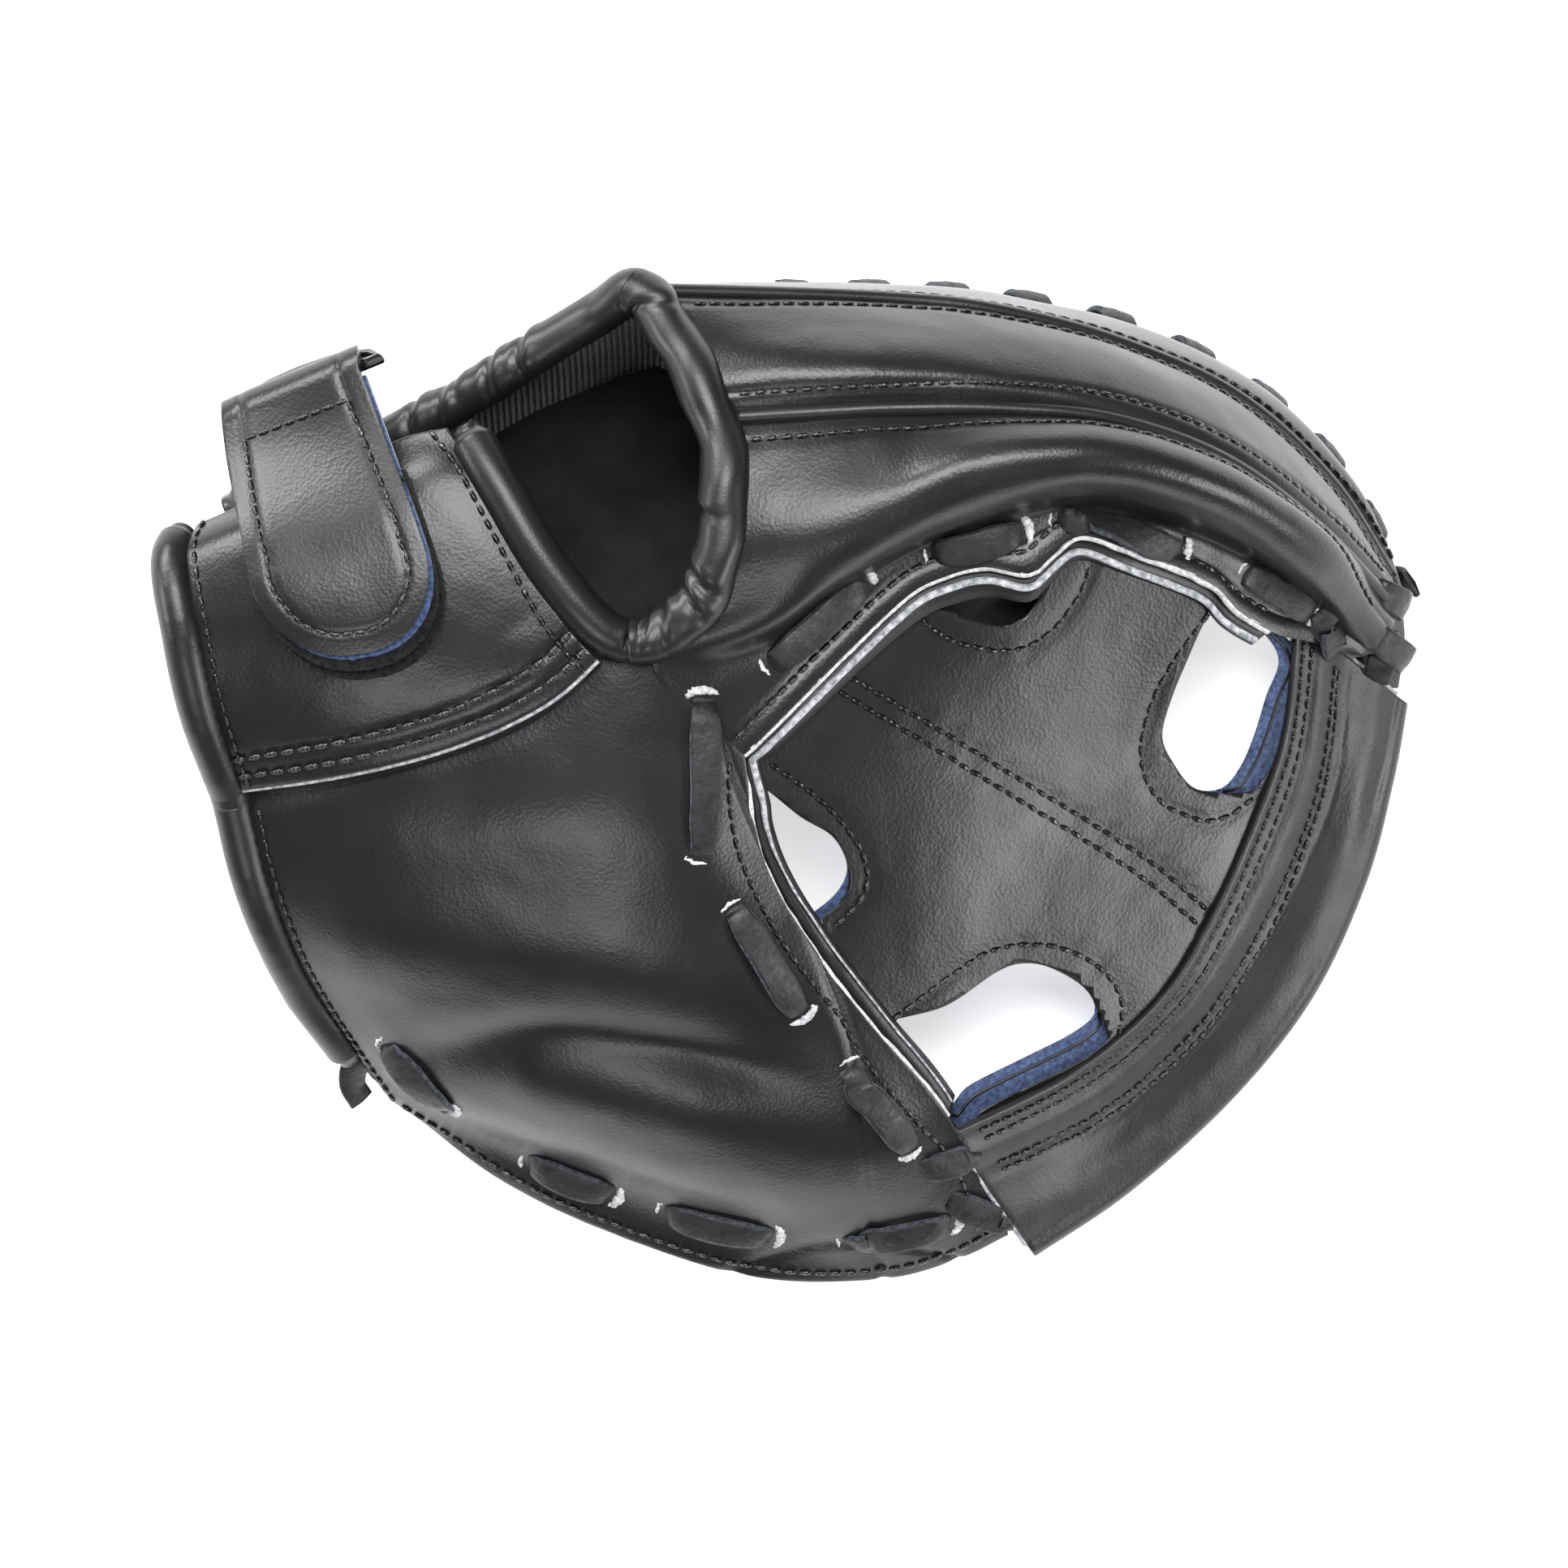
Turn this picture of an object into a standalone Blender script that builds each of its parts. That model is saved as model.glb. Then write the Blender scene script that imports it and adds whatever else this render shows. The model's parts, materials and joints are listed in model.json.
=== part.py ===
"""A catcher's mitt for the left hand, lying palm down.

Sizes are in millimetres and become metres where a mesh is made. +X runs from the wrist to the finger
tips, +Y from the thumb to the little finger, and +Z from the pocket to the back of the hand. Z = 0 is
the surface that the mitt rests on, and the origin is the middle of its footprint.

Each leather panel is a smooth sheet through a small net of points. A net's rows run from the wrist
towards the finger tips, and they follow each other across the panel.
"""

import math

import bmesh
import bpy
import numpy as np
from mathutils import Vector
from mathutils.bvhtree import BVHTree

MM = 0.001
ORIGIN = (2.3, 0.2, 0.4)  # the middle of the footprint, in the nets' coordinates

LEATHER = 2.4
LINING = 1.2
PALM_PAD = 9.0
THUMB_PAD = 5.0
FINGER_PAD = 3.0
LAYER_GAP = 1.4
CREST_GAP = 1.0  # more room between leather and pad where the index stall bends most
SPLIT_GAP = 0.9
BINDING_RADIUS = 4.6
WELT_RADIUS = 1.7
LACE_WIDTH = 7.0
LACE_THICKNESS = 1.5
HOLE_CLEARANCE = 1.2
RING_WIRE = 1.6
RING_REACH = 10.0
RING_SET_IN = 5.0  # of the ring's near end, inside the strap's fold
RING_TAB = ((10, 8, 13.5), (10, 0, 26), (11, -12.5, 43))  # half width, out, down from its bar
WEB_PLY = 2.0
WEB_PLY_GAP = 0.9
BAR_CORE_RADIUS = 1.2
RIM_LACE_SET_IN = 4.0
RIM_LACE_REACH = 7.5
RIM_LACE_RISE = 6.5
WELD = 1e-6  # metres

# Thumb side of the back: from the wrist strap's seam and the crotch to the rim on the table.
THUMB_BACK = (
    ((-136, -3.5, 74), (-104, 1.5, 86), (-76, 9.5, 92), (-54, 20.5, 95.5), (-39, 27, 95.5), (-25.5, 16, 92),
     (-12.5, 4, 84)),
    ((-131.5, -22, 65), (-102, -16, 79), (-74, -12, 86), (-50, -8, 90), (-34, -6, 90), (-20, -12, 85),
     (-6, -17, 77)),
    ((-126, -38, 54), (-96, -38, 68), (-70, -38, 74), (-44, -38, 77), (-24, -38, 76), (-6, -38, 72),
     (6, -39, 68)),
    ((-119, -52, 40), (-90, -57, 53), (-62, -60, 60), (-34, -62, 62), (-10, -62, 61), (10, -60, 60),
     (22, -60, 57)),
    ((-112, -62, 30), (-86, -74, 36), (-56, -84, 40), (-24, -92, 42), (4, -94, 42), (24, -88, 46),
     (36, -76, 47)),
    ((-107, -69, 22), (-82, -84, 20), (-52, -98, 18), (-16, -111, 16), (14, -114, 18), (36, -106, 26),
     (44, -88, 37)),
    ((-102, -75, 15), (-79, -93.5, 10), (-48, -110, 8), (-10, -122.5, 7), (24, -123.5, 7), (44, -118, 10),
     (56, -112, 14)),
)

# Back of the wrist, from the seam with the thumb side to the edge that curls over the little finger side.
WRIST_STRAP = (
    ((-136.5, -1, 74), (-107, 3, 87), (-80, 10, 93), (-58, 20, 97), (-43.5, 32.5, 98)),
    ((-143, 18, 88), (-112, 22, 97), (-88, 28, 101), (-68, 34, 102), (-52, 42, 101)),
    ((-147, 38, 95), (-118, 42, 101), (-94, 46, 103.5), (-76, 53, 104), (-61, 57, 102)),
    ((-149.5, 54, 92), (-124, 62, 98), (-100, 68, 101), (-84, 74, 102), (-71, 74, 101)),
    ((-147, 61, 84), (-124, 71, 90), (-104, 79, 93), (-91, 84.5, 95), (-79, 87, 97)),
)

# Index finger stall: flange along the crotch, overhang, crest, first seam.
INDEX_BACK = (
    ((-11.5, 6.5, 84), (2, 20, 84), (18, 35.5, 82), (40, 52, 80), (73, 62, 76), (100, 52.5, 62),
     (121, 37.5, 46), (145, 36.5, 27)),
    ((-35, 31, 95), (-9, 33, 90), (12, 46, 86), (36, 60, 83), (68, 69, 79), (97, 64, 66),
     (122, 52, 50), (147.5, 38, 28)),
    ((-20.6, 44, 100), (-2, 46, 100), (14, 54, 98), (37, 64, 96), (70, 73, 92), (101, 68, 79),
     (127, 54, 60), (149.5, 39.5, 29)),
    ((-14.6, 63, 104), (4, 64, 106), (24, 70, 106), (46, 78, 105), (76, 80, 100), (105, 73, 86),
     (130, 59, 63), (151, 41.5, 29)),
    ((-16.8, 89, 100), (8, 90.5, 99), (28, 91.5, 97), (52, 91.5, 94), (80, 89, 88), (108, 79.5, 75),
     (132, 63, 54), (152, 44, 26)),
)

# Middle finger stall, from the first seam over its ridge to the second seam.
MIDDLE_BACK = (
    ((-16.8, 89, 100), (8, 90.5, 99), (28, 91.5, 97), (52, 91.5, 94), (80, 89, 88), (108, 79.5, 75),
     (132, 63, 54), (152, 44, 26)),
    ((-21.5, 100, 97.5), (8, 101.5, 99), (28, 101, 97), (52, 98.5, 93), (80, 93.5, 86), (109, 82.5, 73),
     (132.5, 66.5, 52), (152.4, 46, 24)),
    ((-27.5, 111, 93), (6, 111, 88), (28, 110, 86), (52, 107.5, 82), (82, 101.5, 74), (110, 89.5, 60),
     (134, 71, 41), (152.8, 47.5, 20)),
    ((-34, 120.5, 87), (0, 120, 78), (28, 119, 71), (52, 116.5, 66), (82, 109, 57), (112, 96, 45),
     (136, 75, 31), (153, 49.5, 18)),
)

# Outer wall of the ring and little finger stalls, from the second seam to the rim on the table.
OUTER_FINGER_BACK = (
    ((-34, 120.5, 87), (0, 120, 78), (28, 119, 71), (52, 116.5, 66), (82, 109, 57), (112, 96, 45),
     (136, 75, 31), (153, 49.5, 18)),
    ((-34.5, 121.5, 52), (0, 122, 48), (30, 122, 44), (56, 119, 39), (87, 112, 34), (117, 98, 29),
     (139.5, 76, 23), (153.6, 49, 16.5)),
    ((-34, 120.5, 19), (0, 121.5, 17), (31, 121.5, 16), (60, 119, 15.5), (92, 110.5, 15), (122, 93, 14.5),
     (142.5, 71, 14), (154, 48, 14)),
)

# Side wall of the hand cavity on the little finger side, from its bound edge down to the palm.
HEEL_WALL = (
    ((-137, 67, 60), (-112, 78, 65), (-84, 91.6, 72), (-59, 107, 80), (-36.4, 120.5, 86)),
    ((-139, 70, 46), (-113, 83, 46), (-86, 95, 47), (-60, 109.5, 49), (-36.5, 121.5, 52)),
    ((-138, 68, 30), (-112, 82, 20), (-84, 94.5, 16), (-58, 109, 17), (-36, 120, 18)),
)

# Palm side, each half from the crease that the mitt folds on, down to the rim on the table.
THUMB_PALM = (
    ((-138, 5, 27), (-108, 5, 27), (-80, 5, 31), (-52, 5, 40), (-30, 5, 57), (-13, 3.5, 73)),
    ((-133, -18, 28), (-104, -22, 29), (-74, -24, 32), (-46, -24, 38), (-22, -24, 49), (-3, -23, 64)),
    ((-126, -38, 25), (-96, -44, 26), (-66, -48, 27), (-36, -50, 30), (-10, -50, 37), (12, -49, 49.5)),
    ((-115, -57, 19), (-88, -68, 16), (-56, -78, 14), (-22, -84, 15), (8, -86, 21), (33, -73, 36.5)),
    ((-103, -73, 9), (-79, -91.5, 4.5), (-48, -108, 2.6), (-10, -120.5, 2), (24, -121.5, 2), (53, -110, 6)),
)
FINGER_PALM = (
    ((-138, 5, 27), (-95, 5, 28.5), (-52, 5, 40), (-13, 6.5, 73), (18, 36, 71), (73, 61, 63.5),
     (110, 45, 39.5), (144, 37, 18)),
    ((-139, 28, 27), (-95, 32, 29), (-50, 36, 37), (-8, 36, 56), (32, 64, 56), (76, 74, 50),
     (113, 60, 34), (147.5, 39.5, 17)),
    ((-139, 50, 27), (-95, 62, 23), (-50, 78, 24), (-2, 82, 32), (38, 94, 32), (82, 93, 26),
     (120, 76, 20), (150.5, 43, 12)),
    ((-137, 65, 24), (-98, 87, 15), (-48, 112, 11), (2, 120, 9.5), (45, 119, 9), (90, 110, 8.5),
     (127, 87, 8), (152.5, 47.5, 8)),
)

# Web, from its thumb side to its finger side. Its rows run from the crotch out to the bar.
WEB = (
    ((4, -48, 60.5), (22, -70, 46.5), (38, -84, 33.5), (53, -87, 24), (61, -97, 14)),
    ((-8, -18, 69), (26, -40, 54), (58, -54, 36), (88, -61, 17), (97, -67, 9)),
    ((-13, 6, 79.5), (32, -8, 62), (74, -18, 40), (109, -29, 17.5), (121, -36, 8.7)),
    ((8, 33, 78.5), (46, 24, 66), (86, 12, 44), (120, -1, 20.5), (134, -3, 11.5)),
    ((34, 53, 74), (66, 62, 71), (98, 57, 57.5), (127, 34.5, 33.5), (138.5, 29, 22)),
)

# Folded leather bar round the outer edge of the web, from its finger end to its thumb end: the line of
# its upper ply's inner edge, its second stitching, and its outer edge.
BAR = (
    ((127, 36.5, 40), (124, 14, 30), (117.5, -8, 26), (107, -32, 24), (93.5, -54, 23.5), (74, -70, 26),
     (49.5, -83, 33)),
    ((140.5, 29, 26), (137, 4, 18), (130.5, -16, 15), (119, -39, 14), (103, -61, 14), (81, -82, 15.5),
     (56, -100, 20)),
    ((152.3, 21, 15), (148.8, 1, 10), (142.5, -23, 8.5), (130, -50.5, 8), (111, -75, 8), (86, -98, 8.5),
     (62, -113, 10.5)),
)
BAR_DEPTH = (13.8, 11.6, 6.5)  # between the bar's two plies along those three lines

# The roll of leather round the finger side of the back opening.
FINGER_BINDING = (
    (-35, 37.5, 97), (-27.5, 40, 99), (-21, 45, 101), (-16.5, 54, 103), (-14.6, 64, 104), (-14.4, 76, 103),
    (-17, 89, 100), (-22, 100.5, 97.5), (-28, 111, 93), (-33.5, 119, 88.5),
)

# Pull strap, from the fold over its ring to its round end: left and right edge. A third number is the edge's
# own height, and elsewhere the strap lies a set height over the panel.
PULL_STRAP_EDGES = (
    ((-136.5, 87.5, 93.0), (-103.2, 101, 102.0)),
    ((-135, 77, 96.5), (-97.5, 86, 104.5)),
    ((-131.5, 60), (-90, 66)),
    ((-128, 44), (-86, 51)),
    ((-123.5, 35), (-89.5, 41)),
    ((-115, 30.5), (-98, 34.5)),
)
STRAP_RUN = (
    ((-143, 50, 88.5), (-108, 63, 95.0)),
    ((-141.5, 60, 81.5), (-106, 76.5, 89.0)),
    ((-139, 73, 81.0), (-105.5, 86, 89.5)),
    ((-137.5, 83.5, 83.0), (-104.5, 96.5, 92.0)),
)
LOOP_HEIGHT = 2.9
HOOK_HEIGHT = 5.2
PULL_HEIGHT = 7.9
FOLD_AXIS = ((-139.5, 87.5, 88.2), (-98.5, 103.5, 97.8))  # the ring's straight bar

# Holes through the web, seen square on.
WEB_HOLES = {
    "right_hole": ((106, 36), (120, 29), (118.5, 20), (116, 12), (112, 4), (107, -1), (101, -1), (95.5, 5.5),
                   (94, 13), (98.5, 23), (103, 32)),
    "bottom_hole": ((24, -60), (40, -55), (53, -46.5), (60, -44.5), (67, -46), (75, -51), (77.5, -57),
                    (72, -62), (60, -68), (46, -75), (40, -80), (30, -68)),
    "left_hole": ((-6.6, -0.4), (4.2, -8.2), (12, -13), (15.5, -20), (13.5, -26), (8, -31), (2, -34),
                  (-4, -22), (-8, -8)),
    "upper_hole": ((34, 49.5), (37, 44), (47, 40.5), (54, 39), (60, 42), (64.5, 50), (66, 57), (50, 55)),
}

# Where each lace shows on the back, end to end. It runs underneath from one stretch to the next.
CROTCH_STRETCHES = (
    ((-20.4, -16.8), (-20.0, 21.0)),
    ((-3.0, 29.4), (18.8, 50.2)),
    ((36.4, 57.5), (57.5, 62)),
    ((67, 66), (97, 58)),
    ((108, 51.5), (121.5, 46.5)),
)
CROTCH_THUMB_STRETCHES = (
    ((-12.2, -30.5), (3.4, -56)),
    ((15.8, -70), (31, -90)),
)
THUMB_RIM_STRETCHES = (
    ((-98, -64), (-83, -80)),
    ((-63, -93.5), (-43, -101.5)),
    ((-29.2, -106.4), (-3, -112)),
    ((12, -114), (32, -111)),
)
FINGER_RIM_TURNS = 9
WEB_TIES = {
    "web_tie_thumb_inner": ((33.5, -94), (53.5, -91)),
    "web_tie_thumb_outer": ((42, -104.5), (60, -105)),
    "web_tie_finger_inner": ((131.5, 45.5), (135, 28)),
}
THUMB_LOOP = ((-48, -36), (0.26, -0.97), 26, 10)  # place, heading, span and rise
LITTLE_FINGER_LOOP = ((-4, 88), (0.0, 1.0), 24, 14)
LOOP_FOOT = 18.5  # height of a loop's feet over the palm leather, on top of pad and lining
LOOP_BAND = 9.0

CLOSING_AXIS = (0, 5, 24)  # a point on the fore-and-aft line that the mitt folds about
THUMB_HALF = (
    "thumb_back_shell", "thumb_pad", "thumb_back_lining", "palm_shell_thumb_side", "palm_pad_thumb_side",
    "palm_lining_thumb_side", "wrist_binding_thumb_side", "crotch_lace_thumb_side", "thumb_rim_lace",
    "thumb_loop",
)

BLACK = (0.022, 0.022, 0.024)
LACE_BLACK = (0.016, 0.017, 0.02)
SUEDE_BLUE = (0.09, 0.13, 0.31)
FELT_GREY = (0.25, 0.25, 0.24)
METAL_BLACK = (0.012, 0.012, 0.013)


def clear_scene():
    for item in list(bpy.data.objects):
        bpy.data.objects.remove(item)


def new_collection(name):
    collection = bpy.data.collections.new(name)
    bpy.context.scene.collection.children.link(collection)
    return collection


def material(name, colour, roughness, metallic=0.0):
    made = bpy.data.materials.new(name)
    made.use_nodes = True
    shader = made.node_tree.nodes["Principled BSDF"]
    shader.inputs["Base Color"].default_value = (*colour, 1.0)
    shader.inputs["Roughness"].default_value = roughness
    shader.inputs["Metallic"].default_value = metallic
    return made


def spline(points, count):
    """count points on a smooth curve through the given ones, evenly spaced in their order."""
    points = np.asarray(points, float)
    ends = (2 * points[0] - points[1], 2 * points[-1] - points[-2])
    held = np.vstack([ends[0], points, ends[1]])
    made = []
    for place in np.linspace(0, len(points) - 1, count):
        k = min(int(place), len(points) - 2)
        t = place - k
        a, b, c, d = held[k:k + 4]
        bend = (2 * a - 5 * b + 4 * c - d) * t**2 + (3 * b - a - 3 * c + d) * t**3
        made.append(b + ((c - a) * t + bend) / 2)
    return np.array(made)


def loft(net, rows, columns):
    """A grid of rows x columns points on the smooth sheet through a net."""
    along = np.array([spline(row, columns) for row in net])
    return np.array([spline(along[:, k], rows) for k in range(columns)]).transpose(1, 0, 2)


def walk(path, start, end):
    """A path shortened by a distance at each end, with its points spread again."""
    steps = np.linalg.norm(np.diff(path, axis=0), axis=1)
    at = np.concatenate([[0], np.cumsum(steps)])
    wanted = start + (at[-1] - start - end) * at / at[-1]
    return np.array([np.interp(wanted, at, path[:, k]) for k in range(3)]).T


def spread(distance, count):
    """One distance for a whole edge, or some given in turn along it, as a list of count."""
    given = np.atleast_1d(distance)
    return np.interp(np.linspace(0, len(given) - 1, count), np.arange(len(given)), given)


def trimmed(grid, first_row=0.0, last_row=0.0, first_column=0.0, last_column=0.0):
    """A grid drawn back from its edges by distances measured along the sheet."""
    rows, columns = grid.shape[:2]
    starts, ends = spread(first_row, columns), spread(last_row, columns)
    made = np.array([walk(grid[:, k], starts[k], ends[k]) for k in range(columns)]).transpose(1, 0, 2)
    starts, ends = spread(first_column, rows), spread(last_column, rows)
    return np.array([walk(row, starts[k], ends[k]) for k, row in enumerate(made)])


def normals(grid):
    """Unit normals, on the side that faces up and towards the little finger."""
    made = np.cross(np.gradient(grid, axis=1), np.gradient(grid, axis=0))
    made /= np.linalg.norm(made, axis=2, keepdims=True)
    return made if (made @ (0, 0.3, 1)).sum() > 0 else -made


def raised(grid, height):
    """The grid moved out along its own normals."""
    return grid + height * normals(grid)


def quads(rows, columns, first=0):
    """The faces of a grid whose points are numbered row by row."""
    return [
        (first + r * columns + c, first + r * columns + c + 1,
         first + (r + 1) * columns + c + 1, first + (r + 1) * columns + c)
        for r in range(rows - 1)
        for c in range(columns - 1)
    ]


class Surface:
    """Fine copies of some nets, to find the height over a place in plan."""

    def __init__(self, *nets, rows=25, columns=60):
        self.points = np.vstack([loft(net, rows, columns).reshape(-1, 3) for net in nets])
        faces = []
        for n in range(len(nets)):
            faces += quads(rows, columns, n * rows * columns)
        self.tree = BVHTree.FromPolygons([Vector(p) for p in self.points], faces)

    def at(self, x, y):
        """The highest point of the surface over (x, y), or the nearest edge's height beyond it."""
        hit, _, _, _ = self.tree.ray_cast(Vector((x, y, 300)), Vector((0, 0, -1)))
        if hit is None:
            near = self.points[np.argmin(np.hypot(self.points[:, 0] - x, self.points[:, 1] - y))]
            return np.array((x, y, near[2]))
        return np.array(hit)


class Mitt:
    """Makes the nodes and keeps the two collections they go in."""

    def __init__(self):
        self.parts = new_collection("catchers_mitt")
        self.cutters = new_collection("cutters")

    def add(self, name, data, finish, cutter=False):
        made = bpy.data.objects.new(name, data)
        (self.cutters if cutter else self.parts).objects.link(made)
        if cutter:
            made.hide_render = True
            made.display_type = "WIRE"
        elif data:
            made.data.materials.append(finish)
        return made

    def sheet(self, name, grid, thickness, finish, offset=0.0, cutter=False):
        """An open grid given a thickness."""
        rows, columns = grid.shape[:2]
        mesh = bpy.data.meshes.new(name)
        points = (grid.reshape(-1, 3) - ORIGIN) * MM
        mesh.from_pydata([tuple(p) for p in points], [], quads(rows, columns))
        mesh.shade_smooth()
        made = self.add(name, mesh, finish, cutter)
        solidify = made.modifiers.new("thickness", "SOLIDIFY")
        solidify.thickness = thickness * MM
        solidify.offset = offset
        return made

    def ribbon(self, name, path, widths, width, thickness, finish, cutter=False):
        """A flat strap along a path; widths holds the direction across it at each point."""
        half = np.asarray(widths) * width / 2
        return self.sheet(name, np.array([path - half, path + half]), thickness, finish, cutter=cutter)

    def tube(self, name, path, radius, finish, closed=False):
        curve = bpy.data.curves.new(name, "CURVE")
        curve.dimensions = "3D"
        curve.bevel_depth = radius * MM
        curve.bevel_resolution = 2
        curve.use_fill_caps = not closed
        line = curve.splines.new("POLY")
        line.points.add(len(path) - 1)
        for point, place in zip(line.points, (np.asarray(path) - ORIGIN) * MM):
            point.co = (*place, 1.0)
        line.use_cyclic_u = closed
        return self.add(name, curve, finish)

    def prism(self, name, outline, low, high):
        """A cutter with a plan outline."""
        mesh = bpy.data.meshes.new(name)
        shape = bmesh.new()
        corners = [shape.verts.new((np.array((x, y, low)) - ORIGIN) * MM) for x, y in outline]
        face = shape.faces.new(corners)
        raised_part = bmesh.ops.extrude_face_region(shape, geom=[face])["geom"]
        up = [item for item in raised_part if isinstance(item, bmesh.types.BMVert)]
        bmesh.ops.translate(shape, verts=up, vec=(0, 0, (high - low) * MM))
        bmesh.ops.recalc_face_normals(shape, faces=shape.faces)
        shape.to_mesh(mesh)
        shape.free()
        return self.add(name, mesh, None, cutter=True)


def cut(item, *cutters, self_crossing=False):
    for cutter in cutters:
        boolean = item.modifiers.new(cutter.name, "BOOLEAN")
        boolean.operation = "DIFFERENCE"
        boolean.object = cutter
        boolean.use_self = self_crossing


def across(start, end):
    """The level direction square to the way from start to end."""
    heading = (np.array(end) - start) / math.dist(start, end)
    return np.array((heading[1], -heading[0], 0.0))


def stitched_path(stretches, top, bottom, high=1.9, low=4.4, arch=1.2):
    """The lace's middle line: over the top of each stretch, down through a hole, and on underneath."""
    down = np.array((0, 0, low))
    path = [bottom.at(*stretches[0][0]) - down]
    widths = [across(*stretches[0])]
    for n, (start, end) in enumerate(stretches):
        for share in (0.0, 0.06, 0.3, 0.5, 0.7, 0.94, 1.0):
            x, y = np.array(start) + (np.array(end) - start) * share
            lift = arch * math.sin(math.pi * share) + (0 if share in (0.0, 1.0) else high)
            path.append(top.at(x, y) + (0, 0, lift))
            widths.append(across(start, end))
        if n == len(stretches) - 1:
            path.append(bottom.at(*end) - down)
            widths.append(across(start, end))
            break
        after = stretches[n + 1][0]
        for share in (0.0, 0.3, 0.7, 1.0):
            x, y = np.array(end) + (np.array(after) - end) * share
            path.append(bottom.at(x, y) - down)
            widths.append(across(end, after))
    return np.array(path), np.array(widths)


def add_lace(mitt, name, path, widths, finish, pierced):
    """The lace, and the holes that it runs through."""
    mitt.ribbon(name, path, widths, LACE_WIDTH, LACE_THICKNESS, finish)
    hole = mitt.ribbon(name + "_hole", path, widths, LACE_WIDTH + 2 * HOLE_CLEARANCE,
                       LACE_THICKNESS + 2 * HOLE_CLEARANCE, None, cutter=True)
    for item in pierced:
        cut(item, hole, self_crossing=True)


def keep_largest_body(item):
    """Replaces an item's mesh by its cut form, without the loose slivers that a cut can leave."""
    cut_mesh = bpy.data.meshes.new_from_object(item.evaluated_get(bpy.context.evaluated_depsgraph_get()))
    shape = bmesh.new()
    shape.from_mesh(cut_mesh)
    bmesh.ops.triangulate(shape, faces=shape.faces)
    bmesh.ops.remove_doubles(shape, verts=shape.verts, dist=WELD)
    left = set(shape.faces)
    bodies = []
    while left:
        body = [left.pop()]
        for face in body:
            for edge in face.edges:
                beside = [other for other in edge.link_faces if other in left]
                if len(edge.link_faces) == 2 and beside:
                    left.remove(beside[0])
                    body.append(beside[0])
        bodies.append(body)
    for body in sorted(bodies, key=len)[:-1]:
        bmesh.ops.delete(shape, geom=body, context="FACES")
    shape.to_mesh(cut_mesh)
    shape.free()
    item.modifiers.clear()
    item.data = cut_mesh


def rim_lace_path(outer_rim, palm_rim, turns, points_a_turn=8):
    """A lace that whips over the edge where two panels meet."""
    count = turns * points_a_turn + 1
    middle = (spline(outer_rim, count) + spline(palm_rim, count)) / 2
    ahead = np.gradient(middle, axis=0)
    outward = np.cross(ahead, (0, 0, 1)) * (-1, -1, 0)
    outward /= np.linalg.norm(outward, axis=1, keepdims=True)
    angle = np.linspace(0, 2 * math.pi * turns, count)[:, None]
    middle = middle - RIM_LACE_SET_IN * outward
    up = np.array((0, 0, 1))
    path = middle + RIM_LACE_REACH * np.cos(angle) * outward + RIM_LACE_RISE * np.sin(angle) * up
    return path, ahead / np.linalg.norm(ahead, axis=1, keepdims=True)


def strap_rows(edges, columns, panel, height):
    """A grid across a strap's edges, laid on the panel wherever an edge states no height of its own."""
    rows = []
    for left, right in edges:
        shares = np.linspace(0, 1, columns)[:, None]
        plan = np.array(left[:2]) + (np.array(right[:2]) - left[:2]) * shares
        if len(left) == 3:
            heights = left[2] + (right[2] - left[2]) * shares[:, 0]
        else:
            heights = [panel.at(x, y)[2] + height for x, y in plan]
        rows.append(np.column_stack([plan, heights]))
    return np.array(rows)


def widened(edges, by):
    """A strap's edges moved apart, and its round end moved out as well."""
    made = []
    for n, (left, right) in enumerate(edges):
        left, right = np.array(left[:2]), np.array(right[:2])
        side = (right - left) / np.linalg.norm(right - left)
        on = np.array((side[1], -side[0])) * (by if n == len(edges) - 1 else 0)
        made.append((left - side * by + on, right + side * by + on))
    return made


def arch(place, heading, span, rise, surface):
    """A loop that stands on a surface, for a thumb or a finger."""
    path = []
    for angle in np.linspace(0, math.pi, 9):
        x, y = np.array(place) - np.array(heading) * span / 2 * math.cos(angle)
        path.append(surface.at(x, y) + (0, 0, LOOP_FOOT + rise * math.sin(angle)))
    side = np.array((heading[1], -heading[0], 0.0))
    return np.array(path), np.tile(side, (len(path), 1))


def make_palm(mitt, leather, felt, cloth):
    """Palm leather, pad and lining, one set for each side of the crease."""
    above_pad = LEATHER / 2 + LAYER_GAP + PALM_PAD + LAYER_GAP + LINING / 2
    in_pad = LEATHER / 2 + LAYER_GAP + PALM_PAD / 2
    thumb = loft(THUMB_PALM, 9, 12)
    outer = trimmed(thumb, first_row=SPLIT_GAP, last_column=3)
    shells = [mitt.sheet("palm_shell_thumb_side", outer, LEATHER, leather)]
    inner = trimmed(thumb, first_row=1.6, last_row=38, first_column=(3, 3, 12, 28, 36), last_column=28)
    mitt.sheet("palm_pad_thumb_side", raised(inner, in_pad), PALM_PAD, felt)
    mitt.sheet("palm_lining_thumb_side", raised(inner, above_pad), LINING, cloth)
    finger = loft(FINGER_PALM, 8, 15)
    outer = trimmed(finger, first_row=(SPLIT_GAP, SPLIT_GAP, SPLIT_GAP, SPLIT_GAP, 3, 1.5, 1, 1))
    shells.append(mitt.sheet("palm_shell_finger_side", outer, LEATHER, leather))
    crease = (1.6, 1.6, 1.6, 1.6, 1.6, 20, 30, 34, 32, 30, 30, 30, 30, 30, 30)
    inner = trimmed(finger, first_row=crease, last_row=20, first_column=3, last_column=44)
    mitt.sheet("palm_pad_finger_side", raised(inner, in_pad), PALM_PAD, felt)
    mitt.sheet("palm_lining_finger_side", raised(inner, above_pad), LINING, cloth)
    return shells


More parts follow.
